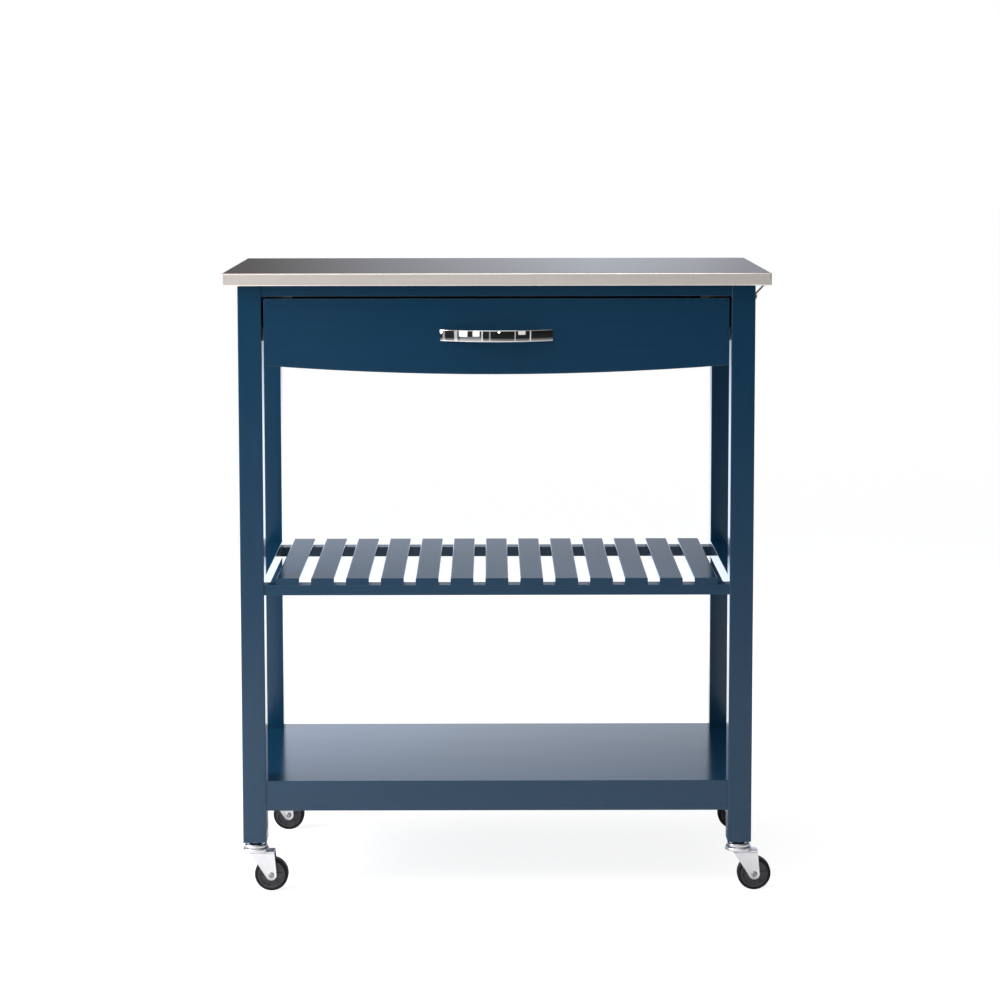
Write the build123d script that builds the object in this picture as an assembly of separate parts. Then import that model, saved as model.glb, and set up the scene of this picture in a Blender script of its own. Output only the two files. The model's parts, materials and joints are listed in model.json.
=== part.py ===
from build123d import *
import os

# Kitchen island cart: a steel-faced top on four square legs, one drawer, a slatted shelf,
# a solid lower shelf and four swivel casters. Millimetres, +Z up, +X to the right, the front
# faces -Y. The origin is on the floor, under the middle of the top.

# ---------------------------------------------------------------- driving dimensions
# whole cart
overall_height = 927.0
top_length = 800.0
top_depth = 420.0
top_overhang_side = 21.2
top_overhang_front = 22.5

# folded steel top and the board inside it
pan_height = 18.5
pan_sheet = 1.0
pan_corner_radius = 2.5
pan_edge_radius = 2.0
pan_lower_radius = 2.0
hem_width = 15.0
board_clearance = 0.2

# legs and casters' seat
leg_size = 35.0
leg_edge_radius = 1.5
caster_height = 76.0

# members between the legs
member_setback = 1.5
member_edge_radius = 0.8
top_rail_height = 17.5
top_rail_depth = 20.0
apron_height = 112.0
apron_thickness = 18.0
rear_apron_thickness = 16.0

# slatted shelf
slat_top_z = 474.7
slat_thickness = 10.0
slat_width = 34.0
slat_count = 13
slat_edge_radius = 1.6
slat_end_inset = 1.2
shelf_rail_height = 15.2
shelf_rail_depth = 27.0
shelf_side_thickness = 25.0

# lower shelf
lower_top_z = 169.7
lower_rail_height = 45.3
lower_rail_thickness = 16.0
lower_panel_thickness = 15.0
cleat_size = 18.0

# drawer front and box
drawer_reveal = 3.0
drawer_side_gap = 2.8
drawer_front_setback = 1.0
drawer_front_height = 98.4
drawer_front_thickness = 18.0
drawer_arch_rise = 13.2
drawer_edge_radius = 1.0
box_height = 55.0
box_drop = 6.0
box_rear_gap = 7.5
box_board = 12.0
box_bottom_thickness = 4.0
box_bottom_lift = 13.0
groove_depth = 5.0
groove_play = 0.2

# pull
pull_length = 165.0
pull_height = 17.6
pull_projection = 23.0
pull_thickness = 4.5
pull_edge_radius = 1.4
pull_drop = 54.2
pull_hole_spacing = 128.0
pull_boss_radius = 4.5
pull_screw_radius = 2.0
pull_screw_head_radius = 4.0
pull_screw_head_height = 2.5
pull_screw_bite = 4.0

# roller slides
slide_gap = 12.7
slide_sheet = 1.2
runner_end_inset = 1.0
channel_front_gap = 4.5
channel_rear_gap = 4.0
runner_web_height = 20.0
runner_lip_width = 7.0
runner_flange_width = 11.0
channel_flange_width = 9.0
channel_top_width = 6.5
channel_lip_gap = 1.0
channel_screw_inset = 40.5
roller_radius = 8.0
roller_width = 4.6
roller_play = 0.5
roller_end_inset = 12.0
roller_pin_radius = 2.0
roller_shoulder_radius = 3.5
roller_head_radius = 3.2
roller_head_height = 0.6
roller_side_play = 0.2
roller_spacing_open = 51.0
stop_height = 3.0
stop_gap = 0.3
running_gap = 0.05

# corner blocks and the stay under the right overhang
block_leg = 31.5
block_thickness = 9.0
block_height = 23.5
stay_width = 10.0
stay_sheet = 1.8
stay_foot = 8.0
stay_reach = 14.0
stay_tip = 4.0
stay_front_inset = 12.5

# fasteners
bolt_radius = 3.0
bolt_head_radius = 6.0
bolt_head_height = 5.0
bolt_socket_width = 4.0
bolt_socket_depth = 3.0
bolt_bite = 32.0
bolt_sink = 8.0
bolt_clearance = 0.5
nut_radius = 5.0
nut_length = 12.0
nut_from_end = 25.0
screw_radius = 1.75
screw_length = 14.0
screw_head_radius = 3.4
screw_head_height = 1.5
slat_screw_bite = 7.0
slat_screw_inset = 5.5
insert_radius = 7.0
insert_length = 24.0

# casters
wheel_radius = 25.0
wheel_width = 18.0
hub_radius = 20.0
hub_recess = 2.5
hub_boss_radius = 7.0
tyre_edge_radius = 4.0
caster_trail = 23.3
fork_sheet = 2.0
fork_wheel_gap = 1.5
fork_tip_radius = 8.0
fork_top_z = 61.0
fork_heel = 9.0
fork_toe = 4.8
race_radius = 20.0
race_height = 5.2
race_edge_radius = 2.0
race_gap = 0.3
upper_race_radius = 17.5
neck_radius = 8.5
neck_height = 4.0
stem_radius = 4.0
stem_length = 20.0
kingpin_radius = 3.5
kingpin_head_radius = 5.5
kingpin_head_height = 1.8
axle_radius = 3.0
axle_head_radius = 4.6
axle_head_height = 1.4

# ---------------------------------------------------------------- planes worked out from them
pan_bottom_z = overall_height - pan_height
board_bottom_z = pan_bottom_z + pan_sheet
leg_outer_x = top_length / 2 - top_overhang_side
leg_outer_y = top_depth / 2 - top_overhang_front
leg_x = leg_outer_x - leg_size / 2
leg_y = leg_outer_y - leg_size / 2
bay_x = leg_outer_x - leg_size
bay_y = leg_outer_y - leg_size
face_y = leg_outer_y - member_setback
top_rail_z = board_bottom_z - top_rail_height
apron_z = board_bottom_z - apron_height
rail_top_z = slat_top_z - slat_thickness
rail_z = rail_top_z - shelf_rail_height
lower_z = lower_top_z - lower_rail_height

drawer_top_z = top_rail_z - drawer_reveal
drawer_end_z = drawer_top_z - drawer_front_height
drawer_half = bay_x - drawer_side_gap
drawer_face_y = -leg_outer_y + drawer_front_setback
drawer_back_y = drawer_face_y + drawer_front_thickness
box_top_z = drawer_top_z - box_drop
box_z = box_top_z - box_height
box_half = bay_x - slide_gap
box_inner = box_half - box_board
box_rear_y = face_y - rear_apron_thickness - box_rear_gap
box_floor_z = box_z + box_bottom_lift

lip_z = box_z - slide_sheet + runner_web_height - slide_sheet
channel_top_z = lip_z - channel_lip_gap
channel_floor_z = channel_top_z - slide_sheet - 2 * roller_radius - roller_play
channel_front_y = drawer_back_y + channel_front_gap
channel_rear_y = face_y - rear_apron_thickness - channel_rear_gap
web_x = bay_x - slide_sheet
runner_x = box_half + slide_sheet
roller_x = (web_x + runner_x) / 2
front_roller_y = channel_front_y + roller_end_inset
rear_roller_y = channel_rear_y - roller_end_inset
front_roller_z = lip_z - roller_radius - running_gap
rear_roller_z = channel_floor_z + roller_radius + running_gap
drawer_travel = rear_roller_y - front_roller_y - roller_spacing_open

caster_spots = {
    "front_left": (-leg_x, -leg_y),
    "front_right": (leg_x, -leg_y),
    "rear_left": (-leg_x, leg_y),
    "rear_right": (leg_x, leg_y),
}
parts = {}


# ---------------------------------------------------------------- helpers
def block(x0, x1, y0, y1, z0, z1):
    """Box between two corners, given in either order."""
    size = (abs(x1 - x0), abs(y1 - y0), abs(z1 - z0))
    return Pos((x0 + x1) / 2, (y0 + y1) / 2, (z0 + z1) / 2) * Box(*size)


def rod(start, axis, radius, length):
    """Cylinder that starts at a point and runs along an axis: X, Y or Z, either way."""
    return extrude(Plane(origin=start, z_dir=axis) * Circle(radius), length)


def mirrored(shape):
    """The same piece on the other side of the cart."""
    return mirror(shape, about=Plane.YZ)


def soft_edges(shape, axis, radius):
    """Rounds the edges that run along one axis."""
    return fillet(shape.edges().filter_by(axis), radius)


def board_block(x0, x1, y0, y1, z0, z1, axis):
    """Length of timber with its long edges eased."""
    return soft_edges(block(x0, x1, y0, y1, z0, z1), axis, member_edge_radius)


def pan_head_screw(point, axis, length=screw_length):
    """Screw whose head sits on the surface at point and whose shank runs along axis."""
    away = tuple(-value for value in axis)
    head = rod(point, away, screw_head_radius, screw_head_height)
    return head + rod(point, axis, screw_radius, length)


def screw_hole(point, axis, length=screw_length):
    """Room for a screw's shank, a touch wider than the screw."""
    return rod(point, axis, screw_radius + running_gap, length + running_gap)


# ---------------------------------------------------------------- top
def make_steel_top():
    """Folded steel pan with eased edges and a hem turned in under the board."""
    half_x = top_length / 2
    half_y = top_depth / 2
    outer = block(-half_x, half_x, -half_y, half_y, pan_bottom_z, overall_height)
    outer = soft_edges(outer, Axis.Z, pan_corner_radius)
    outer = fillet(outer.faces().sort_by(Axis.Z)[-1].edges(), pan_edge_radius)
    outer = fillet(outer.faces().sort_by(Axis.Z)[0].edges(), pan_lower_radius)
    inner_x = half_x - pan_sheet
    inner_y = half_y - pan_sheet
    room = block(-inner_x, inner_x, -inner_y, inner_y, board_bottom_z, overall_height - pan_sheet)
    room = soft_edges(room, Axis.Z, pan_corner_radius - pan_sheet)
    mouth_x = half_x - hem_width
    mouth_y = half_y - hem_width
    mouth = block(-mouth_x, mouth_x, -mouth_y, mouth_y, pan_bottom_z, board_bottom_z)
    return outer - room - mouth


def make_top_board():
    """Core board that fills the pan and carries every screw from below."""
    half_x = top_length / 2 - pan_sheet - board_clearance
    half_y = top_depth / 2 - pan_sheet - board_clearance
    board = block(-half_x, half_x, -half_y, half_y, board_bottom_z, overall_height - pan_sheet)
    board = soft_edges(board, Axis.Z, pan_corner_radius - pan_sheet)
    for x, y in block_screw_spots():
        board -= screw_hole((x, y, board_bottom_z), (0, 0, 1), board_screw_bite())
    return board


def board_screw_bite():
    """How far the vertical screws go into the board."""
    return (pan_height - 2 * pan_sheet) / 2


# ---------------------------------------------------------------- legs and their bolts
def bolt_spots():
    """Each bolt along X: height, side of the cart in Y, and the depth of the member it draws in."""
    return [
        ((board_bottom_z + top_rail_z) / 2, -1, top_rail_depth),
        (board_bottom_z - apron_height / 2, 1, rear_apron_thickness),
        ((rail_top_z + rail_z) / 2, -1, shelf_rail_depth),
        ((rail_top_z + rail_z) / 2, 1, shelf_rail_depth),
        ((lower_top_z + lower_z) / 2, -1, lower_rail_thickness),
        ((lower_top_z + lower_z) / 2, 1, lower_rail_thickness),
    ]


def bolt_y(side, depth):
    """Middle of a front or rear member of the given depth."""
    return side * (face_y - depth / 2)


def make_leg(x, y):
    """Square leg with counterbored bolt holes and a seat for the caster's insert."""
    half = leg_size / 2
    leg = block(x - half, x + half, y - half, y + half, caster_height, board_bottom_z)
    leg = soft_edges(leg, Axis.Z, leg_edge_radius)
    leg -= rod((x, y, caster_height), (0, 0, 1), insert_radius + running_gap, insert_length)
    side_x = 1 if x > 0 else -1
    side_y = 1 if y > 0 else -1
    for z, side, depth in bolt_spots():
        if side == side_y:
            start = (side_x * leg_outer_x, bolt_y(side, depth), z)
            leg -= rod(start, (-side_x, 0, 0), bolt_head_radius + bolt_clearance, bolt_sink)
            leg -= rod(start, (-side_x, 0, 0), bolt_radius + bolt_clearance, leg_size)
    return leg


def make_frame_bolts():
    """Socket bolts that draw the front and rear members against the legs."""
    bolts = []
    for z, side, depth in bolt_spots():
        for side_x in (-1, 1):
            y = bolt_y(side, depth)
            seat = (side_x * (leg_outer_x - bolt_sink), y, z)
            head = rod(seat, (side_x, 0, 0), bolt_head_radius, bolt_head_height)
            shank = rod(seat, (-side_x, 0, 0), bolt_radius, leg_size - bolt_sink + bolt_bite)
            head_x = side_x * (leg_outer_x - bolt_sink + bolt_head_height)
            mouth = Plane(origin=(head_x, y, z), z_dir=(-side_x, 0, 0))
            hexagon = RegularPolygon(bolt_socket_width / 2, 6, major_radius=False)
            socket = extrude(mouth * hexagon, bolt_socket_depth)
            bolts.append(head + shank - socket)
    return Compound(children=bolts)


def nut_point(side_x, z, side, depth):
    """Middle of the barrel nut that one bolt screws into."""
    return (side_x * (bay_x - nut_from_end), bolt_y(side, depth), z)


def make_barrel_nuts():
    """Cross dowels inside the front and rear members."""
    nuts = []
    for z, side, depth in bolt_spots():
        for side_x in (-1, 1):
            x, y, _ = nut_point(side_x, z, side, depth)
            nut = rod((x, y - nut_length / 2, z), (0, 1, 0), nut_radius, nut_length)
            nut -= rod((x - nut_radius, y, z), (1, 0, 0), bolt_radius + running_gap, 2 * nut_radius)
            nuts.append(nut)
    return Compound(children=nuts)


def drilled(member, z, side, depth):
    """A front or rear member with its end holes and barrel-nut holes."""
    y = bolt_y(side, depth)
    for side_x in (-1, 1):
        start = (side_x * bay_x, y, z)
        member -= rod(start, (-side_x, 0, 0), bolt_radius + bolt_clearance, bolt_bite + bolt_clearance)
        x = nut_point(side_x, z, side, depth)[0]
        inner_y = side * (face_y - depth)
        reach = depth / 2 + nut_length / 2
        member -= rod((x, inner_y, z), (0, side, 0), nut_radius + running_gap, reach)
    return member


def make_leg_inserts():
    """Threaded inserts in the legs' lower ends."""
    inserts = []
    for x, y in caster_spots.values():
        start = (x, y, caster_height)
        insert = rod(start, (0, 0, 1), insert_radius, insert_length)
        inserts.append(insert - rod(start, (0, 0, 1), stem_radius + running_gap, insert_length))
    return Compound(children=inserts)


# ---------------------------------------------------------------- members
def make_top_rail():
    """Thin rail over the drawer."""
    z, side, depth = bolt_spots()[0]
    rail = board_block(-bay_x, bay_x, -face_y, -face_y + depth, top_rail_z, board_bottom_z, Axis.X)
    return drilled(rail, z, side, depth)


def make_rear_apron():
    """Deep board between the rear legs."""
    z, side, depth = bolt_spots()[1]
    apron = board_block(-bay_x, bay_x, face_y - depth, face_y, apron_z, board_bottom_z, Axis.X)
    return drilled(apron, z, side, depth)


def channel_screw_spots():
    """Where each slide channel is screwed to its apron."""
    middle = (channel_floor_z + channel_top_z) / 2
    spacing = bay_y - channel_screw_inset
    return [(y, middle) for y in (-spacing, 0.0, spacing)]


def make_side_apron():
    """Right-hand board that the drawer slide is screwed to."""
    apron = board_block(bay_x, bay_x + apron_thickness, -bay_y, bay_y, apron_z, board_bottom_z, Axis.Y)
    for y, z in channel_screw_spots():
        apron -= screw_hole((bay_x, y, z), (1, 0, 0), screw_length - slide_sheet)
    return apron


def slat_spots():
    """Middle of each slat, with equal gaps between slats and at both ends."""
    gap = (2 * bay_x - slat_count * slat_width) / (slat_count + 1)
    return [-bay_x + gap + slat_width / 2 + index * (slat_width + gap) for index in range(slat_count)]


def slat_screw_spots():
    """One screw at each end of each slat, up through the rail."""
    y = face_y - shelf_rail_depth + slat_screw_inset
    return [(x, side * y) for x in slat_spots() for side in (-1, 1)]


def make_shelf_rail(side):
    """Front or rear rail that the slats are screwed down to."""
    z, _, depth = bolt_spots()[2 if side < 0 else 3]
    rail = board_block(-bay_x, bay_x, side * (face_y - depth), side * face_y, rail_z, rail_top_z, Axis.X)
    rail = drilled(rail, z, side, depth)
    for x, y in slat_screw_spots():
        if y * side > 0:
            rail -= rod((x, y, rail_z), (0, 0, 1), screw_radius + running_gap, shelf_rail_height)
            rail -= rod((x, y, rail_z), (0, 0, 1), screw_head_radius + running_gap, screw_head_height)
    return rail


def make_shelf_side():
    """Right-hand side rail, flush with the slats."""
    return board_block(bay_x, bay_x + shelf_side_thickness, -bay_y, bay_y, rail_z, slat_top_z, Axis.Y)


def make_slats():
    """Slats across the shelf from front to back."""
    end = face_y - slat_end_inset
    slats = []
    for x in slat_spots():
        slat = block(x - slat_width / 2, x + slat_width / 2, -end, end, rail_top_z, slat_top_z)
        slat = fillet(slat.faces().sort_by(Axis.Z)[-1].edges(), slat_edge_radius)
        for screw_x, y in slat_screw_spots():
            if screw_x == x:
                slat -= screw_hole((x, y, rail_top_z), (0, 0, 1), slat_screw_bite)
        slats.append(slat)
    return Compound(children=slats)


def make_slat_screws():
    """Screws up through the rails into the slats, heads sunk in the rails."""
    screws = []
    length = shelf_rail_height - screw_head_height + slat_screw_bite
    for x, y in slat_screw_spots():
        seat = (x, y, rail_z + screw_head_height)
        screws.append(pan_head_screw(seat, (0, 0, 1), length))
    return Compound(children=screws)


def make_lower_rail(side):
    """Front or rear rail of the lower shelf."""
    z, _, depth = bolt_spots()[4 if side < 0 else 5]
    rail = block(-bay_x, bay_x, side * (face_y - depth), side * face_y, lower_z, lower_top_z)
    outer = rail.edges().filter_by(Axis.X).group_by(Axis.Y)[0 if side < 0 else -1]
    return drilled(fillet(outer, member_edge_radius), z, side, depth)


def make_lower_side():
    """Right-hand side rail of the lower shelf, flush with the outside of the legs."""
    inner = leg_outer_x - lower_rail_thickness
    rail = block(inner, leg_outer_x, -bay_y, bay_y, lower_z, lower_top_z)
    outer = rail.edges().filter_by(Axis.Y).group_by(Axis.X)[-1]
    return fillet(outer, member_edge_radius)


def make_lower_panel():
    """Shelf panel, notched round the four legs and flush with its rails."""
    wide = leg_outer_x - lower_rail_thickness
    deep = face_y - lower_rail_thickness
    bottom = lower_top_z - lower_panel_thickness
    across = block(-wide, wide, -bay_y, bay_y, bottom, lower_top_z)
    return across + block(-bay_x, bay_x, -deep, deep, bottom, lower_top_z)


def make_lower_cleats():
    """Square cleats under both ends of the panel, glued to the side rails."""
    outer = leg_outer_x - lower_rail_thickness
    top = lower_top_z - lower_panel_thickness
    cleat = block(outer - cleat_size, outer, -bay_y, bay_y, top - cleat_size, top)
    return Compound(children=[cleat, mirrored(cleat)])


# ---------------------------------------------------------------- corner blocks, stay, screws
def corner_spots():
    """Each corner block: middle in plan, side of the cart, wall in Y, way into the cart."""
    inward = block_thickness / 2 / 2 ** 0.5
    spots = []
    for wall_y, into_y in ((top_rail_depth - face_y, 1), (face_y - rear_apron_thickness, -1)):
        for side_x in (-1, 1):
            x = side_x * (bay_x - block_leg / 2 - inward)
            y = wall_y + into_y * (block_leg / 2 + inward)
            spots.append((x, y, side_x, wall_y, into_y))
    return spots


def block_screw_spots():
    """Vertical screw through each corner block into the board."""
    return [(x, y) for x, y, *_ in corner_spots()]


def make_corner_blocks():
    """Moulded diagonal blocks that tie the rails together and hold the board down."""
    blocks = []
    low = board_bottom_z - block_height
    band = block_thickness * 2 ** 0.5
    for x, y, side_x, wall_y, into_y in corner_spots():
        plan = [
            (side_x * (bay_x - block_leg), wall_y),
            (side_x * (bay_x - block_leg - band), wall_y),
            (side_x * bay_x, wall_y + into_y * (block_leg + band)),
            (side_x * bay_x, wall_y + into_y * block_leg),
        ]
        face = make_face(Polyline(*plan, close=True))
        body = extrude(Pos(0, 0, low) * face, block_height, dir=(0, 0, 1))
        body -= rod((x, y, low), (0, 0, 1), screw_radius + running_gap, block_height)
        body -= rod((x, y, low), (0, 0, 1), screw_head_radius + running_gap, block_height / 2)
        blocks.append(body)
    return Compound(children=blocks)


def stay_y():
    """The stay's place along the right front leg."""
    return -leg_outer_y + stay_front_inset


def make_side_stay():
    """Small bent strap from the right front leg up to the hem of the top."""
    rise = pan_bottom_z - stay_reach
    half = stay_sheet / 2
    foot_x = leg_outer_x + half
    head_x = foot_x + stay_reach - stay_sheet
    head_z = pan_bottom_z - half
    line = Polyline((foot_x, rise - stay_foot), (foot_x, rise), (head_x, head_z), (head_x + stay_tip, head_z))
    strap = Plane.XZ.offset(-stay_y() - stay_width / 2) * trace(line, stay_sheet)
    stay = extrude(strap, stay_width)
    return stay - screw_hole(stay_screw_seat(), (-1, 0, 0), stay_sheet)


def make_fixing_screws():
    """Identical screws of the corner blocks, the slide channels and the stay."""
    screws = []
    for x, y in block_screw_spots():
        seat = (x, y, board_bottom_z - block_height / 2)
        screws.append(pan_head_screw(seat, (0, 0, 1), block_height / 2 + board_screw_bite()))
    for y, z in channel_screw_spots():
        for side_x in (-1, 1):
            seat = (side_x * web_x, y, z)
            screws.append(pan_head_screw(seat, (side_x, 0, 0)))
    screws.append(pan_head_screw(stay_screw_seat(), (-1, 0, 0)))
    return Compound(children=screws)


def stay_screw_seat():
    """Outer face of the stay's lower foot, at its screw."""
    z = pan_bottom_z - stay_reach - stay_foot / 2
    return (leg_outer_x + stay_sheet, stay_y(), z)


def make_stay_leg():
    """Right front leg, with the hole for the stay's screw."""
    return make_leg(leg_x, -leg_y) - screw_hole(stay_screw_seat(), (-1, 0, 0))


# ---------------------------------------------------------------- drawer
def pull_z():
    """Height of the pull's middle."""
    return drawer_top_z - pull_drop


def pull_screw_spots():
    """The pull's two screws across the drawer front."""
    return (-pull_hole_spacing / 2, pull_hole_spacing / 2)


def bottom_slot(x0, x1, y0, y1):
    """Groove for the drawer bottom."""
    return block(x0, x1, y0, y1, box_floor_z, box_floor_z + box_bottom_thickness + groove_play)


def make_drawer_front():
    """Board with a straight top and a shallow arch along its lower edge."""
    low = drawer_end_z - drawer_arch_rise
    outline = [
        Line((-drawer_half, drawer_end_z), (-drawer_half, drawer_top_z)),
        Line((-drawer_half, drawer_top_z), (drawer_half, drawer_top_z)),
        Line((drawer_half, drawer_top_z), (drawer_half, drawer_end_z)),
        ThreePointArc((drawer_half, drawer_end_z), (0, low), (-drawer_half, drawer_end_z)),
    ]
    face = Plane.XZ.offset(-drawer_face_y) * make_face(outline)
    front = extrude(face, drawer_front_thickness, dir=(0, 1, 0))
    front = fillet(front.faces().sort_by(Axis.Y)[0].edges(), drawer_edge_radius)
    for x in pull_screw_spots():
        start = (x, drawer_face_y, pull_z())
        front -= rod(start, (0, 1, 0), pull_screw_radius + running_gap, drawer_front_thickness)
    slot_x = box_inner + groove_depth
    return front - bottom_slot(-slot_x, slot_x, drawer_back_y - groove_depth, drawer_back_y)


def make_drawer_side():
    """Right-hand side of the drawer box."""
    side = block(box_inner, box_half, drawer_back_y, box_rear_y, box_z, box_top_z)
    upper = side.edges().filter_by(Axis.Y).group_by(Axis.Z)[-1]
    side = fillet(upper, drawer_edge_radius)
    slot_end = box_rear_y - box_board + groove_depth
    return side - bottom_slot(box_inner, box_inner + groove_depth, drawer_back_y, slot_end)


def make_drawer_back():
    """Rear board of the drawer box, between its sides."""
    inner_y = box_rear_y - box_board
    back = block(-box_inner, box_inner, inner_y, box_rear_y, box_z, box_top_z)
    return back - bottom_slot(-box_inner, box_inner, inner_y, inner_y + groove_depth)


def make_drawer_bottom():
    """Thin panel held in the grooves."""
    half = box_inner + groove_depth - groove_play
    front = drawer_back_y - groove_depth + groove_play
    rear = box_rear_y - box_board + groove_depth - groove_play
    return block(-half, half, front, rear, box_floor_z, box_floor_z + box_bottom_thickness)


def bow_radius():
    """Radius of the pull's outer curve, from its length and projection."""
    return ((pull_length / 2) ** 2 + pull_projection ** 2) / (2 * pull_projection)


def bow_depth(x):
    """How far the pull's outer curve stands off the drawer front at x."""
    radius = bow_radius()
    return (radius ** 2 - x ** 2) ** 0.5 - (radius - pull_projection)


def make_pull():
    """Bowed flat pull with two bosses behind it."""
    half = pull_length / 2
    inner_radius = bow_radius() - pull_thickness
    inner_half = (inner_radius ** 2 - (bow_radius() - pull_projection) ** 2) ** 0.5
    y = drawer_face_y
    outer_y = y - pull_projection
    inner_y = outer_y + pull_thickness
    outline = [
        ThreePointArc((-half, y), (0, outer_y), (half, y)),
        Line((half, y), (inner_half, y)),
        ThreePointArc((inner_half, y), (0, inner_y), (-inner_half, y)),
        Line((-inner_half, y), (-half, y)),
    ]
    low = pull_z() - pull_height / 2
    band = extrude(Pos(0, 0, low) * make_face(outline), pull_height, dir=(0, 0, 1))
    levels = band.edges().group_by(Axis.Z)
    rims = [max(level, key=lambda edge: edge.length) for level in (levels[0], levels[-1])]
    pull = fillet(rims, pull_edge_radius)
    for x in pull_screw_spots():
        start = (x, y, pull_z())
        pull += rod(start, (0, -1, 0), pull_boss_radius, bow_depth(x) - pull_thickness / 2)
        pull -= rod(start, (0, -1, 0), pull_screw_radius + running_gap, pull_screw_bite + running_gap)
    return pull


def make_pull_screws():
    """Screws from inside the drawer into the pull."""
    screws = []
    for x in pull_screw_spots():
        seat = (x, drawer_back_y, pull_z())
        head = rod(seat, (0, 1, 0), pull_screw_head_radius, pull_screw_head_height)
        shank = rod(seat, (0, -1, 0), pull_screw_radius, drawer_front_thickness + pull_screw_bite)
        screws.append(head + shank)
    return Compound(children=screws)


# ---------------------------------------------------------------- slides
def stop_offset():
    """Level distance from a roller's middle to the stop tab that it meets."""
    return (roller_radius ** 2 - (roller_radius + running_gap - stop_height) ** 2) ** 0.5


def roller_pin(base_x, way, y, z):
    """Shouldered pin that carries one roller, standing out of a web along X."""
    shoulder = abs(roller_x - base_x) - roller_width / 2 - roller_side_play
    pin = shoulder + roller_width + 2 * roller_side_play
    body = rod((base_x, y, z), (way, 0, 0), roller_shoulder_radius, shoulder)
    body += rod((base_x, y, z), (way, 0, 0), roller_pin_radius, pin)
    return body + rod((base_x + way * pin, y, z), (way, 0, 0), roller_head_radius, roller_head_height)


def make_channel():
    """Right-hand cabinet member of the drawer slide, with its front roller's pin and two stops."""
    low = channel_floor_z - slide_sheet
    front, rear = channel_front_y, channel_rear_y
    channel = block(web_x, bay_x, front, rear, low, channel_top_z)
    channel += block(web_x - channel_flange_width, web_x, front, rear, low, channel_floor_z)
    open_y = front_roller_y + roller_radius + roller_shoulder_radius
    flange_x = web_x - channel_top_width
    channel += block(flange_x, web_x, open_y, rear, channel_top_z - slide_sheet, channel_top_z)
    lane = roller_width / 2
    top = channel_floor_z + stop_height
    for roller_y, way in ((rear_roller_y, 1), (rear_roller_y - drawer_travel, -1)):
        near = roller_y + way * (stop_offset() + stop_gap)
        far = near + way * slide_sheet
        channel += block(roller_x - lane, roller_x + lane, near, far, channel_floor_z, top)
    channel += roller_pin(web_x, -1, front_roller_y, front_roller_z)
    for y, z in channel_screw_spots():
        channel -= screw_hole((web_x, y, z), (1, 0, 0), slide_sheet)
    return channel


def make_runner():
    """Right-hand drawer member of the slide, with its rear roller's pin."""
    low = box_z - slide_sheet
    front = drawer_back_y
    rear = box_rear_y - runner_end_inset
    runner = block(box_half, runner_x, front, rear, low, low + runner_web_height)
    runner += block(box_half - runner_flange_width, box_half, front, rear, low, box_z)
    runner += block(runner_x, runner_x + runner_lip_width, front, rear, lip_z, lip_z + slide_sheet)
    return runner + roller_pin(runner_x, 1, rear_roller_y, rear_roller_z)


def make_roller(y, z):
    """Right-hand roller with a running fit on its pin."""
    start = (roller_x - roller_width / 2, y, z)
    roller = rod(start, (1, 0, 0), roller_radius, roller_width)
    return roller - rod(start, (1, 0, 0), roller_pin_radius + running_gap, roller_width)


# ---------------------------------------------------------------- casters
def make_stem(x, y):
    """Threaded stem with its neck, fixed upper race and the kingpin below it."""
    race_low = fork_top_z + race_height + race_gap
    neck_low = caster_height - neck_height
    stem = rod((x, y, race_low), (0, 0, 1), upper_race_radius, neck_low - race_low)
    stem = fillet(stem.edges().sort_by(Axis.Z)[-1], race_edge_radius)
    stem += rod((x, y, neck_low), (0, 0, 1), neck_radius, neck_height)
    stem += rod((x, y, caster_height), (0, 0, 1), stem_radius, stem_length)
    pin_low = fork_top_z - fork_sheet - running_gap
    stem += rod((x, y, pin_low), (0, 0, 1), kingpin_radius, race_low - pin_low)
    return stem + rod((x, y, pin_low), (0, 0, -1), kingpin_head_radius, kingpin_head_height)


def make_stems():
    """The four stems, one in each leg."""
    return Compound(children=[make_stem(x, y) for x, y in caster_spots.values()])


def fork_half_width():
    """Outer face of a fork's side plate, from the wheel's middle plane."""
    return wheel_width / 2 + fork_wheel_gap + fork_sheet


def make_fork(x, y):
    """Pressed fork: lower race, top plate and two tapering side plates."""
    half = fork_half_width()
    plate_low = fork_top_z - fork_sheet
    toe = caster_trail + fork_toe
    fork = Pos(x, y, fork_top_z + race_height / 2) * Cylinder(race_radius, race_height)
    fork = fillet(fork.edges().sort_by(Axis.Z)[-1], race_edge_radius)
    fork += rod((x, y, plate_low), (0, 0, 1), race_radius - race_edge_radius, fork_sheet)
    fork += block(x - fork_heel, x + toe, y - half, y + half, plate_low, fork_top_z)
    tip = CenterArc((x + caster_trail, wheel_radius), fork_tip_radius, 0, 360)
    shoulder = Line((x - fork_heel, fork_top_z), (x + toe, fork_top_z))
    profile = make_hull([tip, shoulder])
    for side in (-1, 1):
        outer_y = y + side * half
        plate = Plane.XZ.offset(-outer_y) * profile
        fork += extrude(plate, fork_sheet, dir=(0, -side, 0))
    fork -= rod((x, y, plate_low), (0, 0, 1), kingpin_radius + running_gap, fork_sheet + race_height)
    start = (x + caster_trail, y - half, wheel_radius)
    return fork - rod(start, (0, 1, 0), axle_radius + running_gap, 2 * half)


def make_axle(x, y):
    """Riveted axle through the fork."""
    half = fork_half_width()
    wheel_x = x + caster_trail
    axle = rod((wheel_x, y - half, wheel_radius), (0, 1, 0), axle_radius, 2 * half)
    for side in (-1, 1):
        face = (wheel_x, y + side * half, wheel_radius)
        axle += rod(face, (0, side, 0), axle_head_radius, axle_head_height)
        outer = (wheel_x, y + side * (half + axle_head_height), wheel_radius)
        axle -= rod(outer, (0, -side, 0), axle_radius / 2, axle_head_height)
    return axle


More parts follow.
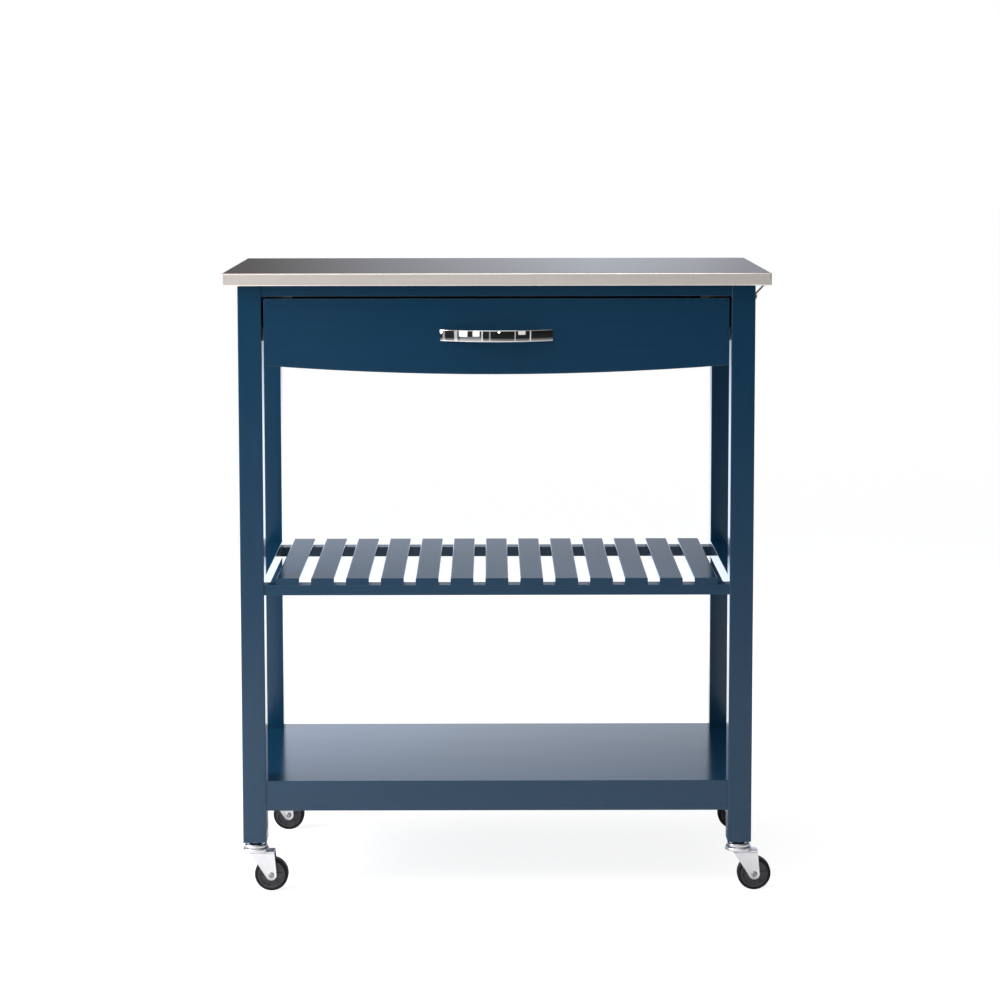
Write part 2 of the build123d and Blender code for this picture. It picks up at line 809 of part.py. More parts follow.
def make_hub(x, y):
    """Wheel core with a recessed web and a bored boss."""
    wheel_x = x + caster_trail
    half = wheel_width / 2
    boss_half = half + fork_wheel_gap - race_gap
    hub = rod((wheel_x, y - half, wheel_radius), (0, 1, 0), hub_radius, wheel_width)
    for side in (-1, 1):
        face = (wheel_x, y + side * half, wheel_radius)
        hub -= rod(face, (0, -side, 0), hub_radius - hub_recess, hub_recess)
    start = (wheel_x, y - boss_half, wheel_radius)
    hub += rod(start, (0, 1, 0), hub_boss_radius, 2 * boss_half)
    return hub - rod(start, (0, 1, 0), axle_radius + running_gap, 2 * boss_half)


def make_tyre(x, y):
    """Tread ring with rounded shoulders."""
    start = (x + caster_trail, y - wheel_width / 2, wheel_radius)
    tyre = rod(start, (0, 1, 0), wheel_radius, wheel_width)
    tyre = fillet(tyre.edges().filter_by(GeomType.CIRCLE), tyre_edge_radius)
    return tyre - rod(start, (0, 1, 0), hub_radius, wheel_width)


# ---------------------------------------------------------------- the whole cart
def add_pair(name, right):
    """A right-hand piece and its mirror image, each in its own node."""
    parts[name + "_right"] = right
    parts[name + "_left"] = mirrored(right)


parts["steel_top"] = make_steel_top()
parts["top_board"] = make_top_board()
parts["leg_front_left"] = make_leg(-leg_x, -leg_y)
parts["leg_front_right"] = make_stay_leg()
parts["leg_rear_left"] = make_leg(-leg_x, leg_y)
parts["leg_rear_right"] = make_leg(leg_x, leg_y)
parts["top_rail_front"] = make_top_rail()
parts["apron_rear"] = make_rear_apron()
add_pair("apron", make_side_apron())
parts["shelf_rail_front"] = make_shelf_rail(-1)
parts["shelf_rail_rear"] = make_shelf_rail(1)
add_pair("shelf_rail", make_shelf_side())
parts["shelf_slats"] = make_slats()
parts["slat_screws"] = make_slat_screws()
parts["lower_shelf_panel"] = make_lower_panel()
parts["lower_rail_front"] = make_lower_rail(-1)
parts["lower_rail_rear"] = make_lower_rail(1)
add_pair("lower_rail", make_lower_side())
parts["lower_cleats"] = make_lower_cleats()
parts["corner_blocks"] = make_corner_blocks()
parts["fixing_screws"] = make_fixing_screws()
parts["side_stay"] = make_side_stay()
parts["frame_bolts"] = make_frame_bolts()
parts["barrel_nuts"] = make_barrel_nuts()
parts["leg_inserts"] = make_leg_inserts()
parts["caster_stems"] = make_stems()

parts["drawer_front"] = make_drawer_front()
add_pair("drawer_side", make_drawer_side())
parts["drawer_back"] = make_drawer_back()
parts["drawer_bottom"] = make_drawer_bottom()
parts["drawer_pull"] = make_pull()
parts["pull_screws"] = make_pull_screws()
add_pair("slide_channel", make_channel())
add_pair("slide_runner", make_runner())
add_pair("channel_roller", make_roller(front_roller_y, front_roller_z))
add_pair("runner_roller", make_roller(rear_roller_y, rear_roller_z))

for place, (spot_x, spot_y) in caster_spots.items():
    parts["caster_fork_" + place] = make_fork(spot_x, spot_y)
    parts["caster_axle_" + place] = make_axle(spot_x, spot_y)
    parts["caster_hub_" + place] = make_hub(spot_x, spot_y)
    parts["caster_tyre_" + place] = make_tyre(spot_x, spot_y)

os.makedirs("parts", exist_ok=True)
for node, shape in parts.items():
    export_step(shape, os.path.join("parts", node + ".step"))
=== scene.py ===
import json
import logging
import math
from dataclasses import dataclass
from enum import Enum
from typing import Iterable, Sequence

import bmesh
import bpy
from mathutils import Matrix, Vector


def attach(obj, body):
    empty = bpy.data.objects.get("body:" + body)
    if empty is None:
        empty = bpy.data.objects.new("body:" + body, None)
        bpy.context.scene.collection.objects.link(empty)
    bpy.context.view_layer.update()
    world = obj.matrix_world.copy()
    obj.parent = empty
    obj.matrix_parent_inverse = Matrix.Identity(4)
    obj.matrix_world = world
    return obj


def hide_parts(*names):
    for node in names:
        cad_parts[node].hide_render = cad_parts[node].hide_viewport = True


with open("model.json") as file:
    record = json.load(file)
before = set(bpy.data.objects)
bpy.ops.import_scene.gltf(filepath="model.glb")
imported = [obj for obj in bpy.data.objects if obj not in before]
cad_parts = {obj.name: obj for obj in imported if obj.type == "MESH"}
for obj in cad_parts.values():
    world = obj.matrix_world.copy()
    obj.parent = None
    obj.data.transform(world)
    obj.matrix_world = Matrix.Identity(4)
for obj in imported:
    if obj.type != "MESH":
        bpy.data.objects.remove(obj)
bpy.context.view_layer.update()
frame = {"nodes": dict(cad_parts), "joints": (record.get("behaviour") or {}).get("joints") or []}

LOG = logging.getLogger("cart")
MM = 0.001
FULL_TURN = 2.0 * math.pi
# points nearer than a weld are one, and levels nearer than SAME_LEVEL are the same, all in metres
WELD = 1e-6
FINE_WELD = 1e-7
SAME_LEVEL = 1e-5

Point = tuple[float, float, float]
Colour = tuple[float, float, float]
Span = tuple[float, float]
Outline = list[tuple[float, float]]
Stops = Sequence[tuple[float, float]]
Tree = bpy.types.NodeTree
Socket = bpy.types.NodeSocket
Shape = bmesh.types.BMesh
Names = tuple[str, ...]
Points = list[bmesh.types.BMVert]
Edges = list[bmesh.types.BMEdge]

WHITE: Colour = (1.0, 1.0, 1.0)


class Along(Enum):
    """Direction that a grain, a brushing or a shaft follows."""

    X = 0
    Y = 1
    Z = 2

    @property
    def unit(self) -> Vector:
        """Unit vector of the direction."""
        return Vector([1.0 if index == self.value else 0.0 for index in range(3)])

    @property
    def turn(self) -> Matrix:
        """Rotation that takes +Z to the direction."""
        return Vector((0.0, 0.0, 1.0)).rotation_difference(self.unit).to_matrix().to_4x4()


# ---------------------------------------------------------------- nodes
def add_node(
    tree: Tree, kind: str, links: dict[str | int, object] | None = None, **settings: object,
) -> bpy.types.Node:
    """Adds a node, sets its properties, and fills its inputs with values or links.

    Args:
        tree: Tree that gets the node.
        kind: Node type without the ShaderNode prefix.
        links: Input name or index to a value or to another node's output.
        **settings: Properties of the node.

    Returns:
        The new node.
    """
    node = tree.nodes.new(f"ShaderNode{kind}")
    for key, value in settings.items():
        setattr(node, key, value)
    for key, value in (links or {}).items():
        if isinstance(value, Socket):
            tree.links.new(value, node.inputs[key])
        else:
            node.inputs[key].default_value = value
    return node


def math_node(tree: Tree, operation: str, first: Socket, second: Socket | float = 0.0) -> Socket:
    """One step of arithmetic on one or two values, as the Math node names it."""
    return add_node(tree, "Math", {0: first, 1: second}, operation=operation).outputs[0]


def vector_node(tree: Tree, operation: str, first: Socket, second: Socket | Point) -> Socket:
    """One step of arithmetic on two vectors that gives a vector."""
    return add_node(tree, "VectorMath", {0: first, 1: second}, operation=operation).outputs[0]


def axes_node(tree: Tree, vector: Socket) -> dict[str, Socket]:
    """The X, Y and Z of a vector."""
    parts = add_node(tree, "SeparateXYZ", {0: vector})
    return {axis: parts.outputs[axis] for axis in "XYZ"}


def range_node(tree: Tree, value: Socket, span: Span, levels: Span = (0.0, 1.0)) -> Socket:
    """Carries a value from one range over to another, and holds it at the ends.

    Args:
        tree: Tree that gets the node.
        value: Value to read.
        span: Range that is read.
        levels: What its two ends become.

    Returns:
        The new value.
    """
    ends = {"From Min": span[0], "From Max": span[1], "To Min": levels[0], "To Max": levels[1]}
    return add_node(tree, "MapRange", {"Value": value, **ends}).outputs[0]


def blend_node(tree: Tree, share: Socket, first: Socket, second: Socket) -> Socket:
    """Goes from the first value to the second as the share goes from 0 to 1."""
    ends = {"Factor": share, "A": first, "B": second}
    return add_node(tree, "Mix", ends, data_type="FLOAT").outputs[0]


def noise_node(tree: Tree, vector: Socket, scale: Socket, detail: float) -> Socket:
    """Smooth noise of a given scale and detail."""
    noise = add_node(tree, "TexNoise", {"Vector": vector, "Scale": scale, "Detail": detail})
    return noise.outputs["Fac"]


def ramp_node(tree: Tree, value: Socket, stops: Stops, reach: float = 1.0) -> Socket:
    """Turns a value into a grey level by straight lines between stops.

    Args:
        tree: Tree that gets the nodes.
        value: Value to read.
        stops: Value and level pairs, in order.
        reach: Value of the ramp's far end.

    Returns:
        The level.
    """
    ramp = add_node(tree, "ValToRGB", {0: math_node(tree, "DIVIDE", value, reach)})
    marks = ramp.color_ramp.elements
    marks[0].position, marks[1].position = stops[0][0] / reach, stops[-1][0] / reach
    for place, _ in stops[1:-1]:
        marks.new(place / reach)
    for mark, (_, level) in zip(marks, stops):
        mark.color = (level, level, level, 1.0)
    return ramp.outputs["Color"]


def plain_view(tree: Tree) -> Socket:
    """1 for the camera's own rays and for those that come through clear things, otherwise 0."""
    path = add_node(tree, "LightPath").outputs
    return math_node(tree, "MAXIMUM", path["Is Camera Ray"], path["Is Transmission Ray"])


# ---------------------------------------------------------------- surface patterns
FIBRE_MASK: Span = (0.36, 0.64)
FIBRES_TO_BAND = 5.0
PATCH_MASK: Span = (0.3, 0.7)
DIMPLES_TO_PATCH = 40.0


def new_group(name: str, inputs: dict[str, tuple[str, float | None]]) -> Tree:
    """Makes an empty node group that gives a mask and a height.

    Args:
        name: Name of the group.
        inputs: Socket name to its kind, Float or Vector, and its default.

    Returns:
        The group's tree, with its input and output nodes in place.
    """
    tree = bpy.data.node_groups.new(name, "ShaderNodeTree")
    for label, (kind, default) in inputs.items():
        socket = tree.interface.new_socket(label, in_out="INPUT", socket_type=f"NodeSocket{kind}")
        if default is not None:
            socket.default_value = default
    for label in ("Mask", "Height"):
        tree.interface.new_socket(label, in_out="OUTPUT", socket_type="NodeSocketFloat")
    tree.nodes.new("NodeGroupInput").name = "in"
    tree.nodes.new("NodeGroupOutput").name = "out"
    return tree


def build_grain_group() -> Tree:
    """Long fibres that follow the Z of the vector they are given.

    Returns:
        The group's tree.
    """
    inputs = {"Vector": ("Vector", None), "Spread": ("Float", 120.0), "Stretch": ("Float", 0.04)}
    tree = new_group("LongFibres", inputs)
    source, sink = tree.nodes["in"].outputs, tree.nodes["out"].inputs
    lengths = add_node(tree, "CombineXYZ", {0: 1.0, 1: 1.0, 2: source["Stretch"]}).outputs[0]
    squeezed = vector_node(tree, "MULTIPLY", source["Vector"], lengths)
    bands = noise_node(tree, squeezed, source["Spread"], detail=5.0)
    fine_scale = math_node(tree, "MULTIPLY", source["Spread"], FIBRES_TO_BAND)
    fibres = noise_node(tree, squeezed, fine_scale, detail=3.0)
    mean = math_node(tree, "MULTIPLY", math_node(tree, "ADD", bands, fibres), 0.5)
    tree.links.new(range_node(tree, mean, FIBRE_MASK), sink["Mask"])
    tree.links.new(mean, sink["Height"])
    return tree


def build_cloud_group() -> Tree:
    """Soft uneven patches with fine dimples, as in a sprayed or moulded surface.

    Returns:
        The group's tree.
    """
    tree = new_group("SoftPatches", {"Vector": ("Vector", None), "Scale": ("Float", 8.0)})
    source, sink = tree.nodes["in"].outputs, tree.nodes["out"].inputs
    patches = noise_node(tree, source["Vector"], source["Scale"], detail=4.0)
    fine_scale = math_node(tree, "MULTIPLY", source["Scale"], DIMPLES_TO_PATCH)
    dimples = noise_node(tree, source["Vector"], fine_scale, detail=2.0)
    tree.links.new(range_node(tree, patches, PATCH_MASK), sink["Mask"])
    tree.links.new(dimples, sink["Height"])
    return tree


GRAIN = build_grain_group()
CLOUD = build_cloud_group()


# ---------------------------------------------------------------- finishes
UPRIGHT_SPAN: Span = (0.1, 0.35)
TANGENT_NUDGE: Point = (0.0, 0.0, 0.01)


@dataclass(frozen=True)
class Finish:
    """A surface finish with two close colours and two close roughnesses.

    The pattern is long fibres where `grain` is set, and soft patches otherwise. Where `brushed` is
    set, highlights spread across that direction, and `edge_rough` is added on upright faces.
    """

    name: str
    colour: Colour
    second: Colour
    rough: float
    rough_spread: float = 0.05
    metallic: float = 0.0
    grain: Along | None = None
    spread: float = 120.0
    stretch: float = 0.04
    bump: float = 0.1
    bump_mm: float = 0.05
    specular: float = 0.5
    anisotropic: float = 0.0
    brushed: Along | None = None
    edge_rough: float = 0.0

    def material(self) -> bpy.types.Material:
        """The finish as a material, made once and shared.

        Returns:
            The material.
        """
        known = bpy.data.materials.get(self.name)
        if known is not None:
            return known
        made = bpy.data.materials.new(self.name)
        made.use_nodes = True
        tree = made.node_tree
        shader = tree.nodes["Principled BSDF"].inputs
        mask, height = self.pattern(tree)
        relief = {"Height": height, "Strength": self.bump, "Distance": self.bump_mm * MM}
        tree.links.new(self.tone(tree, mask), shader["Base Color"])
        tree.links.new(self.roughness(tree, mask), shader["Roughness"])
        tree.links.new(add_node(tree, "Bump", relief).outputs[0], shader["Normal"])
        shader["Metallic"].default_value = self.metallic
        shader["Specular IOR Level"].default_value = self.specular
        shader["Anisotropic"].default_value = self.anisotropic
        if self.brushed is not None:
            tree.links.new(self.tangent(tree), shader["Tangent"])
        return made

    def pattern(self, tree: Tree) -> tuple[Socket, Socket]:
        """Adds the long fibres or the soft patches.

        Args:
            tree: The material's tree.

        Returns:
            The pattern's mask and height.
        """
        vector = add_node(tree, "TexCoord").outputs["Object"]
        if self.grain is None:
            made = add_node(tree, "Group", {"Vector": vector, "Scale": self.spread}, node_tree=CLOUD)
        else:
            turn = self.grain.turn.inverted().to_euler()
            turned = add_node(tree, "Mapping", {"Vector": vector, "Rotation": turn}).outputs[0]
            fibres = {"Vector": turned, "Spread": self.spread, "Stretch": self.stretch}
            made = add_node(tree, "Group", fibres, node_tree=GRAIN)
        return made.outputs["Mask"], made.outputs["Height"]

    def tone(self, tree: Tree, mask: Socket) -> Socket:
        """Goes between the two colours.

        Args:
            tree: The material's tree.
            mask: 0 for the first colour, 1 for the second.

        Returns:
            The colour.
        """
        mix = add_node(tree, "Mix", {"Factor": mask}, data_type="RGBA")
        for socket in mix.inputs:
            if socket.type == "RGBA":
                colour = self.colour if socket.identifier.startswith("A") else self.second
                socket.default_value = (*colour, 1.0)
        return next(out for out in mix.outputs if out.type == "RGBA")

    def roughness(self, tree: Tree, mask: Socket) -> Socket:
        """Goes between the two roughnesses, and adds what upright faces have more.

        Args:
            tree: The material's tree.
            mask: 0 for the first roughness, 1 for the second.

        Returns:
            The roughness.
        """
        rough = range_node(tree, mask, (0.0, 1.0), (self.rough, self.rough + self.rough_spread))
        if self.edge_rough == 0.0:
            return rough
        normal = add_node(tree, "NewGeometry").outputs["Normal"]
        level = math_node(tree, "ABSOLUTE", axes_node(tree, normal)["Z"])
        extra = range_node(tree, level, UPRIGHT_SPAN, (self.edge_rough, 0.0))
        return math_node(tree, "ADD", rough, extra)

    def tangent(self, tree: Tree) -> Socket:
        """Direction across the brushing, kept off zero where a face lies square to it.

        Args:
            tree: The material's tree.

        Returns:
            The direction.
        """
        normal = add_node(tree, "NewGeometry").outputs["Normal"]
        across = vector_node(tree, "CROSS_PRODUCT", normal, tuple(self.brushed.unit))
        return vector_node(tree, "ADD", across, TANGENT_NUDGE)


NAVY: Colour = (0.0045, 0.041, 0.09)
NAVY_DEEP: Colour = (0.004, 0.037, 0.082)


def navy_paint(grain: Along) -> Finish:
    """Semi-gloss dark blue paint over timber.

    Args:
        grain: Direction of the timber's grain.

    Returns:
        The finish.
    """
    return Finish(
        f"navy_paint_{grain.name.lower()}", NAVY, NAVY_DEEP, rough=0.14, grain=grain, spread=90.0,
        stretch=0.03,
    )


def pale_timber(grain: Along) -> Finish:
    """Light timber with a thin clear varnish.

    Args:
        grain: Direction of the timber's grain.

    Returns:
        The finish.
    """
    return Finish(
        f"pale_timber_{grain.name.lower()}", (0.62, 0.47, 0.31), (0.5, 0.36, 0.22), rough=0.42,
        grain=grain, spread=70.0, stretch=0.03, bump=0.15,
    )


BRUSHED_TOP = Finish(
    "brushed_steel_top", (0.95, 0.875, 0.82), (0.85, 0.785, 0.74), rough=0.18, rough_spread=0.06,
    metallic=1.0, grain=Along.X, spread=900.0, stretch=0.006, bump=0.15, bump_mm=0.01,
    anisotropic=0.75, brushed=Along.X, edge_rough=0.22,
)
CORE_BOARD = Finish(
    "core_fibreboard", (0.36, 0.27, 0.18), (0.3, 0.22, 0.15), rough=0.8, spread=60.0, bump=0.3,
)
CHROME = Finish(
    "polished_chrome", (0.78, 0.79, 0.8), (0.75, 0.76, 0.77), rough=0.03, rough_spread=0.02,
    metallic=1.0, spread=20.0, bump=0.02, bump_mm=0.01,
)
ZINC = Finish(
    "bright_zinc", (0.72, 0.73, 0.75), (0.62, 0.63, 0.65), rough=0.2, rough_spread=0.1,
    metallic=1.0, spread=120.0, bump=0.08, bump_mm=0.02,
)
FORK_ZINC = Finish(
    "fork_zinc", (0.85, 0.84, 0.87), (0.79, 0.78, 0.81), rough=0.28, rough_spread=0.06,
    metallic=1.0, spread=90.0, bump=0.06, bump_mm=0.02,
)
AXLE_STEEL = Finish(
    "axle_steel", (0.42, 0.42, 0.44), (0.34, 0.34, 0.36), rough=0.3, rough_spread=0.08,
    metallic=1.0, spread=120.0, bump=0.08, bump_mm=0.02,
)
WHITE_NYLON = Finish(
    "white_nylon", (0.8, 0.8, 0.78), (0.74, 0.74, 0.72), rough=0.45, spread=60.0, bump=0.1,
)
WHITE_EPOXY = Finish(
    "white_epoxy", (0.78, 0.78, 0.75), (0.73, 0.73, 0.7), rough=0.35, spread=80.0, bump=0.1,
)
HUB_PLASTIC = Finish(
    "black_hub", (0.036, 0.033, 0.041), (0.048, 0.044, 0.054), rough=0.36, spread=90.0, bump=0.12,
)
TYRE_RUBBER = Finish(
    "black_tyre", (0.006, 0.0055, 0.0065), (0.009, 0.0085, 0.0095), rough=0.55, spread=110.0,
    bump=0.25, specular=0.25,
)


# ---------------------------------------------------------------- mesh tools
def show(
    name: str, shape: Shape, finish: Finish, body: str, stands_for: str, sharp: float = 35.0,
) -> None:
    """Turns a shape into a finished piece that stands for a CAD node.

    Args:
        name: Name of the piece.
        shape: Geometry in metres, at its place; it is freed.
        finish: Surface finish.
        body: CAD body that carries the piece.
        stands_for: CAD node that the piece replaces.
        sharp: Angle in degrees above which an edge stays crisp.
    """
    bmesh.ops.remove_doubles(shape, verts=shape.verts, dist=WELD)
    bmesh.ops.recalc_face_normals(shape, faces=shape.faces)
    mesh = bpy.data.meshes.new(name)
    shape.to_mesh(mesh)
    shape.free()
    piece = bpy.data.objects.new(name, mesh)
    bpy.context.scene.collection.objects.link(piece)
    mesh.materials.append(finish.material())
    mesh.shade_smooth()
    mesh.set_sharp_from_angle(angle=math.radians(sharp))
    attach(piece, body)
    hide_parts(stands_for)
    LOG.info("%s: %d faces on %s", name, len(mesh.polygons), body)


def dress(nodes: Iterable[str], finish: Finish) -> None:
    """Gives CAD nodes a finish without touching their meshes.

    Args:
        nodes: Names of the nodes.
        finish: Surface finish.
    """
    made = finish.material()
    for node in nodes:
        piece = frame["nodes"][node]
        piece.data.materials.clear()
        piece.data.materials.append(made)
        LOG.info("%s: %s", node, finish.name)


def half_section(made: Shape, profile: Outline) -> tuple[Points, Edges]:
    """Draws a profile upright, ready to be spun about Z.

    Args:
        made: Shape that gets the points and edges.
        profile: Radius and height pairs in millimetres.

    Returns:
        The points and the edges between them, in order.
    """
    points = [made.verts.new((radius * MM, 0.0, height * MM)) for radius, height in profile]
    return points, [made.edges.new(pair) for pair in zip(points, points[1:])]


def spin_about_z(made: Shape, points: Points, edges: Edges, steps: int) -> None:
    """Spins a half-section through a full turn and joins what meets.

    Args:
        made: Shape that holds the half-section and gets the rest.
        points: Points of the half-section.
        edges: Edges between them.
        steps: Facets round the part.
    """
    bmesh.ops.spin(
        made, geom=points + edges, axis=(0, 0, 1), angle=FULL_TURN, steps=steps, use_merge=True,
    )
    bmesh.ops.remove_doubles(made, verts=made.verts, dist=FINE_WELD)


def turned_part(profile: Outline, centre: Point, along: Along, steps: int) -> Shape:
    """Spins a profile about an axis.

    Args:
        profile: Radius and height pairs in millimetres, in order round the section.
        centre: Where the axis crosses height 0, in metres.
        along: Direction of the axis.
        steps: Facets round the part.

    Returns:
        The spun shape, closed where the profile ends on the axis or on itself.
    """
    made = bmesh.new()
    points, edges = half_section(made, profile)
    if profile[0][0] > 0.0 and profile[-1][0] > 0.0:
        edges.append(made.edges.new((points[-1], points[0])))
    spin_about_z(made, points, edges, steps)
    bmesh.ops.transform(made, matrix=Matrix.Translation(centre) @ along.turn, verts=made.verts)
    return made


def both_sides(half: Outline) -> Outline:
    """A section from the half that lies above its middle, in order round it."""
    return [(radius, -height) for radius, height in half] + half[::-1]


def merge_in(target: Shape, extra: Shape) -> None:
    """Adds one shape to another.

    Args:
        target: Shape that grows.
        extra: Shape that is added and freed.
    """
    holder = bpy.data.meshes.new("holder")
    extra.to_mesh(holder)
    extra.free()
    target.from_mesh(holder)
    bpy.data.meshes.remove(holder)


def arc(centre: tuple[float, float], radius: float, start: float, end: float, steps: int) -> Outline:
    """Points of an arc.

    Args:
        centre: Centre of the arc.
        radius: Its radius.
        start: Angle of the first point, in degrees.
        end: Angle of the last point, in degrees.
        steps: Straight pieces between them.

    Returns:
        The points, in order.
    """
    x, y = centre
    turns = [math.radians(start + (end - start) * index / steps) for index in range(steps + 1)]
    return [(x + radius * math.cos(turn), y + radius * math.sin(turn)) for turn in turns]


def open_edges(made: Shape) -> Edges:
    """Edges that bound a hole."""
    return [edge for edge in made.edges if edge.is_boundary]


def cut_off(made: Shape, point: Point | Vector, normal: Point | Vector) -> None:
    """Cuts away what lies past a plane and closes the cut.

    Args:
        made: Shape to cut.
        point: A point of the plane, in metres.
        normal: Direction of what goes.
    """
    everything = [*made.verts, *made.edges, *made.faces]
    bmesh.ops.bisect_plane(
        made, geom=everything, dist=FINE_WELD, plane_co=point, plane_no=normal, clear_outer=True,
    )
    bmesh.ops.holes_fill(made, edges=open_edges(made))


# ---------------------------------------------------------------- fasteners
HEAD_SHARE = 0.9


@dataclass(frozen=True)
class ScrewPlace:
    """Where one screw sits and how large it is, in metres."""

    seat: Vector
    way: Vector
    head_radius: float
    head_height: float
    shank_radius: float
    length: float


def screw_places(node: str) -> list[ScrewPlace]:
    """Reads the screws of a CAD node from its separate solids.

    Args:
        node: Name of the CAD node.

    Returns:
        One place a screw; `way` points from the head to the tip.
    """
    merged = bmesh.new()
    merged.from_mesh(frame["nodes"][node].data)
    bmesh.ops.remove_doubles(merged, verts=merged.verts, dist=WELD)
    places: list[ScrewPlace] = []
    left = set(merged.verts)
    # points that edges join belong to one screw
    while left:
        seed = min(left, key=lambda vert: vert.index)
        island, border = {seed}, [seed]
        while border:
            for edge in border.pop().link_edges:
                for vert in edge.verts:
                    if vert not in island:
                        island.add(vert)
                        border.append(vert)
        left -= island
        places.append(read_screw([vert.co.copy() for vert in island]))
    merged.free()
    return sorted(places, key=lambda place: tuple(round(value, 4) for value in place.seat))


def read_screw(points: list[Vector]) -> ScrewPlace:
    """Works out a screw's axis, seat and sizes from its points.

    Points further out than HEAD_SHARE of the widest radius belong to the head.

    Args:
        points: Points of one screw's surface, in metres.

    Returns:
        The screw's place.
    """
    low = Vector([min(point[axis] for point in points) for axis in range(3)])
    high = Vector([max(point[axis] for point in points) for axis in range(3)])
    size = high - low
    axis = max(range(3), key=lambda index: size[index])
    middle = (low + high) / 2

    def radius(point: Vector) -> float:
        """Distance of a point from the screw's axis.

        Args:
            point: The point, in metres.

        Returns:
            The distance, in metres.
        """
        flat = point - middle
        flat[axis] = 0.0
        return flat.length

    widest = max(radius(point) for point in points)
    head = [point[axis] for point in points if radius(point) > HEAD_SHARE * widest]
    head_low = abs(min(head) - low[axis]) < SAME_LEVEL
    outer, seat_level = (min(head), max(head)) if head_low else (max(head), min(head))
    tip = high[axis] if head_low else low[axis]
    shank = max(radius(point) for point in points if abs(point[axis] - tip) < SAME_LEVEL)
    seat = middle.copy()
    seat[axis] = seat_level
    way = Vector((0.0, 0.0, 0.0))
    way[axis] = 1.0 if head_low else -1.0
    return ScrewPlace(seat, way, widest, abs(seat_level - outer), shank, abs(tip - seat_level))


@dataclass
class CrossHeadScrews:
    """Pan-head screws with a cross recess and a pointed tip, made where the CAD has them.

    The crown, the arms and their half-width are shares of the head's radius, the recess's depth is
    one of the head's height, and the tip and its taper are shares of the shank's radius.
    """

    node: str
    body: str
    steps: int = 20
    crown: float = 0.62
    dome_steps: int = 4
    tip: float = 0.3
    taper: float = 2.0
    arm: float = 0.42
    arm_half_width: float = 0.12
    recess_depth: float = 0.7
    recess_foot: float = 0.8

    def profile(self, place: ScrewPlace) -> Outline:
        """Half-section from the tip to the crown's flat.

        Args:
            place: The screw's place and sizes.

        Returns:
            Radius, and height above the seat towards the tip, in millimetres.
        """
        head, height, shank = place.head_radius / MM, place.head_height / MM, place.shank_radius / MM
        length = place.length / MM
        rise = [math.radians(90.0 * step / self.dome_steps) for step in range(self.dome_steps + 1)]
        dome = [
            (head - (head - self.crown * head) * step / self.dome_steps, -height * math.sin(turn))
            for step, turn in enumerate(rise)
        ]
        tip = [(0.0, length), (shank * self.tip, length), (shank, length - self.taper * shank)]
        return [*tip, (shank, 0.0), (head, 0.0), *dome]

    def one(self, place: ScrewPlace) -> Shape:
        """Builds one screw.

        Args:
            place: Where it sits.

        Returns:
            The screw in metres, at its place.
        """
        made = bmesh.new()
        points, edges = half_section(made, self.profile(place))
        spin_about_z(made, points, edges, self.steps)
        rim = open_edges(made)
        arm, width = self.arm * place.head_radius, self.arm_half_width * place.head_radius
        corner = [(arm, width), (width, width), (width, arm)]
        outline = [
            Matrix.Rotation(math.radians(90.0 * quarter), 4, "Z") @ Vector((x, y, -place.head_height))
            for quarter in range(4)
            for x, y in corner
        ]
        cross = made.faces.new([made.verts.new(point) for point in outline])
        bmesh.ops.bridge_loops(made, edges=rim + list(cross.edges))
        foot = bmesh.ops.extrude_discrete_faces(made, faces=[cross])["faces"][0]
        bmesh.ops.translate(made, verts=foot.verts, vec=(0, 0, self.recess_depth * place.head_height))
        bmesh.ops.scale(made, verts=foot.verts, vec=(self.recess_foot, self.recess_foot, 1.0))
        turn = Vector((0, 0, 1)).rotation_difference(place.way).to_matrix().to_4x4()
        bmesh.ops.transform(made, matrix=Matrix.Translation(place.seat) @ turn, verts=made.verts)
        return made

    def build(self) -> None:
        """Builds every screw of the node as one piece."""
        whole = bmesh.new()
        for place in screw_places(self.node):
            merge_in(whole, self.one(place))
        show(f"{self.node}_detailed", whole, ZINC, self.body, self.node)


# ---------------------------------------------------------------- casters
@dataclass
class CasterStems:
    """The four fixed stems: kingpin, pressed upper race, neck and stem."""

    node: str = "caster_stems"
    pin: float = 3.5
    rivet: float = 5.5
    race: float = 17.5
    neck: float = 8.5
    stem: float = 4.0
    steps: int = 64

    def section(self) -> Outline:
        """Half-section of a stem, from the rivet's foot to the stem's top.

        Returns:
            Radius and height above the floor, in millimetres.
        """
        pin, rivet, race, neck, stem = self.pin, self.rivet, self.race, self.neck, self.stem
        head = [(0.0, 57.15), (rivet - 1.6, 57.15), (rivet - 0.5, 57.6), (rivet, 58.4), (rivet, 58.95)]
        under = [(pin, 58.95), (pin, 66.5), (race - 1.4, 66.5), (race - 1.0, 66.9), (race - 0.3, 66.9)]
        rim = [(race, 67.3), (race, 69.6), *arc((race - 2.4, 69.6), 2.4, 10.0, 90.0, 6)]
        crown = [(13.2, 72.0), (12.4, 71.5), (10.6, 71.4), (9.6, 71.9), (neck, 73.0), (neck, 75.6)]
        top = [(neck - 0.4, 76.0), (stem, 76.0), (stem, 95.2), (stem - 0.8, 96.0), (0.0, 96.0)]
        return head + under + rim + crown + top

    def build(self, spots: Iterable[Vector]) -> None:
        """Builds the stems as one piece.

        Args:
            spots: The swivel axes.
        """
        whole = bmesh.new()
        for spot in spots:
            merge_in(whole, turned_part(self.section(), (spot.x, spot.y, 0.0), Along.Z, self.steps))
        show("caster_stems_turned", whole, ZINC, "frame", self.node)


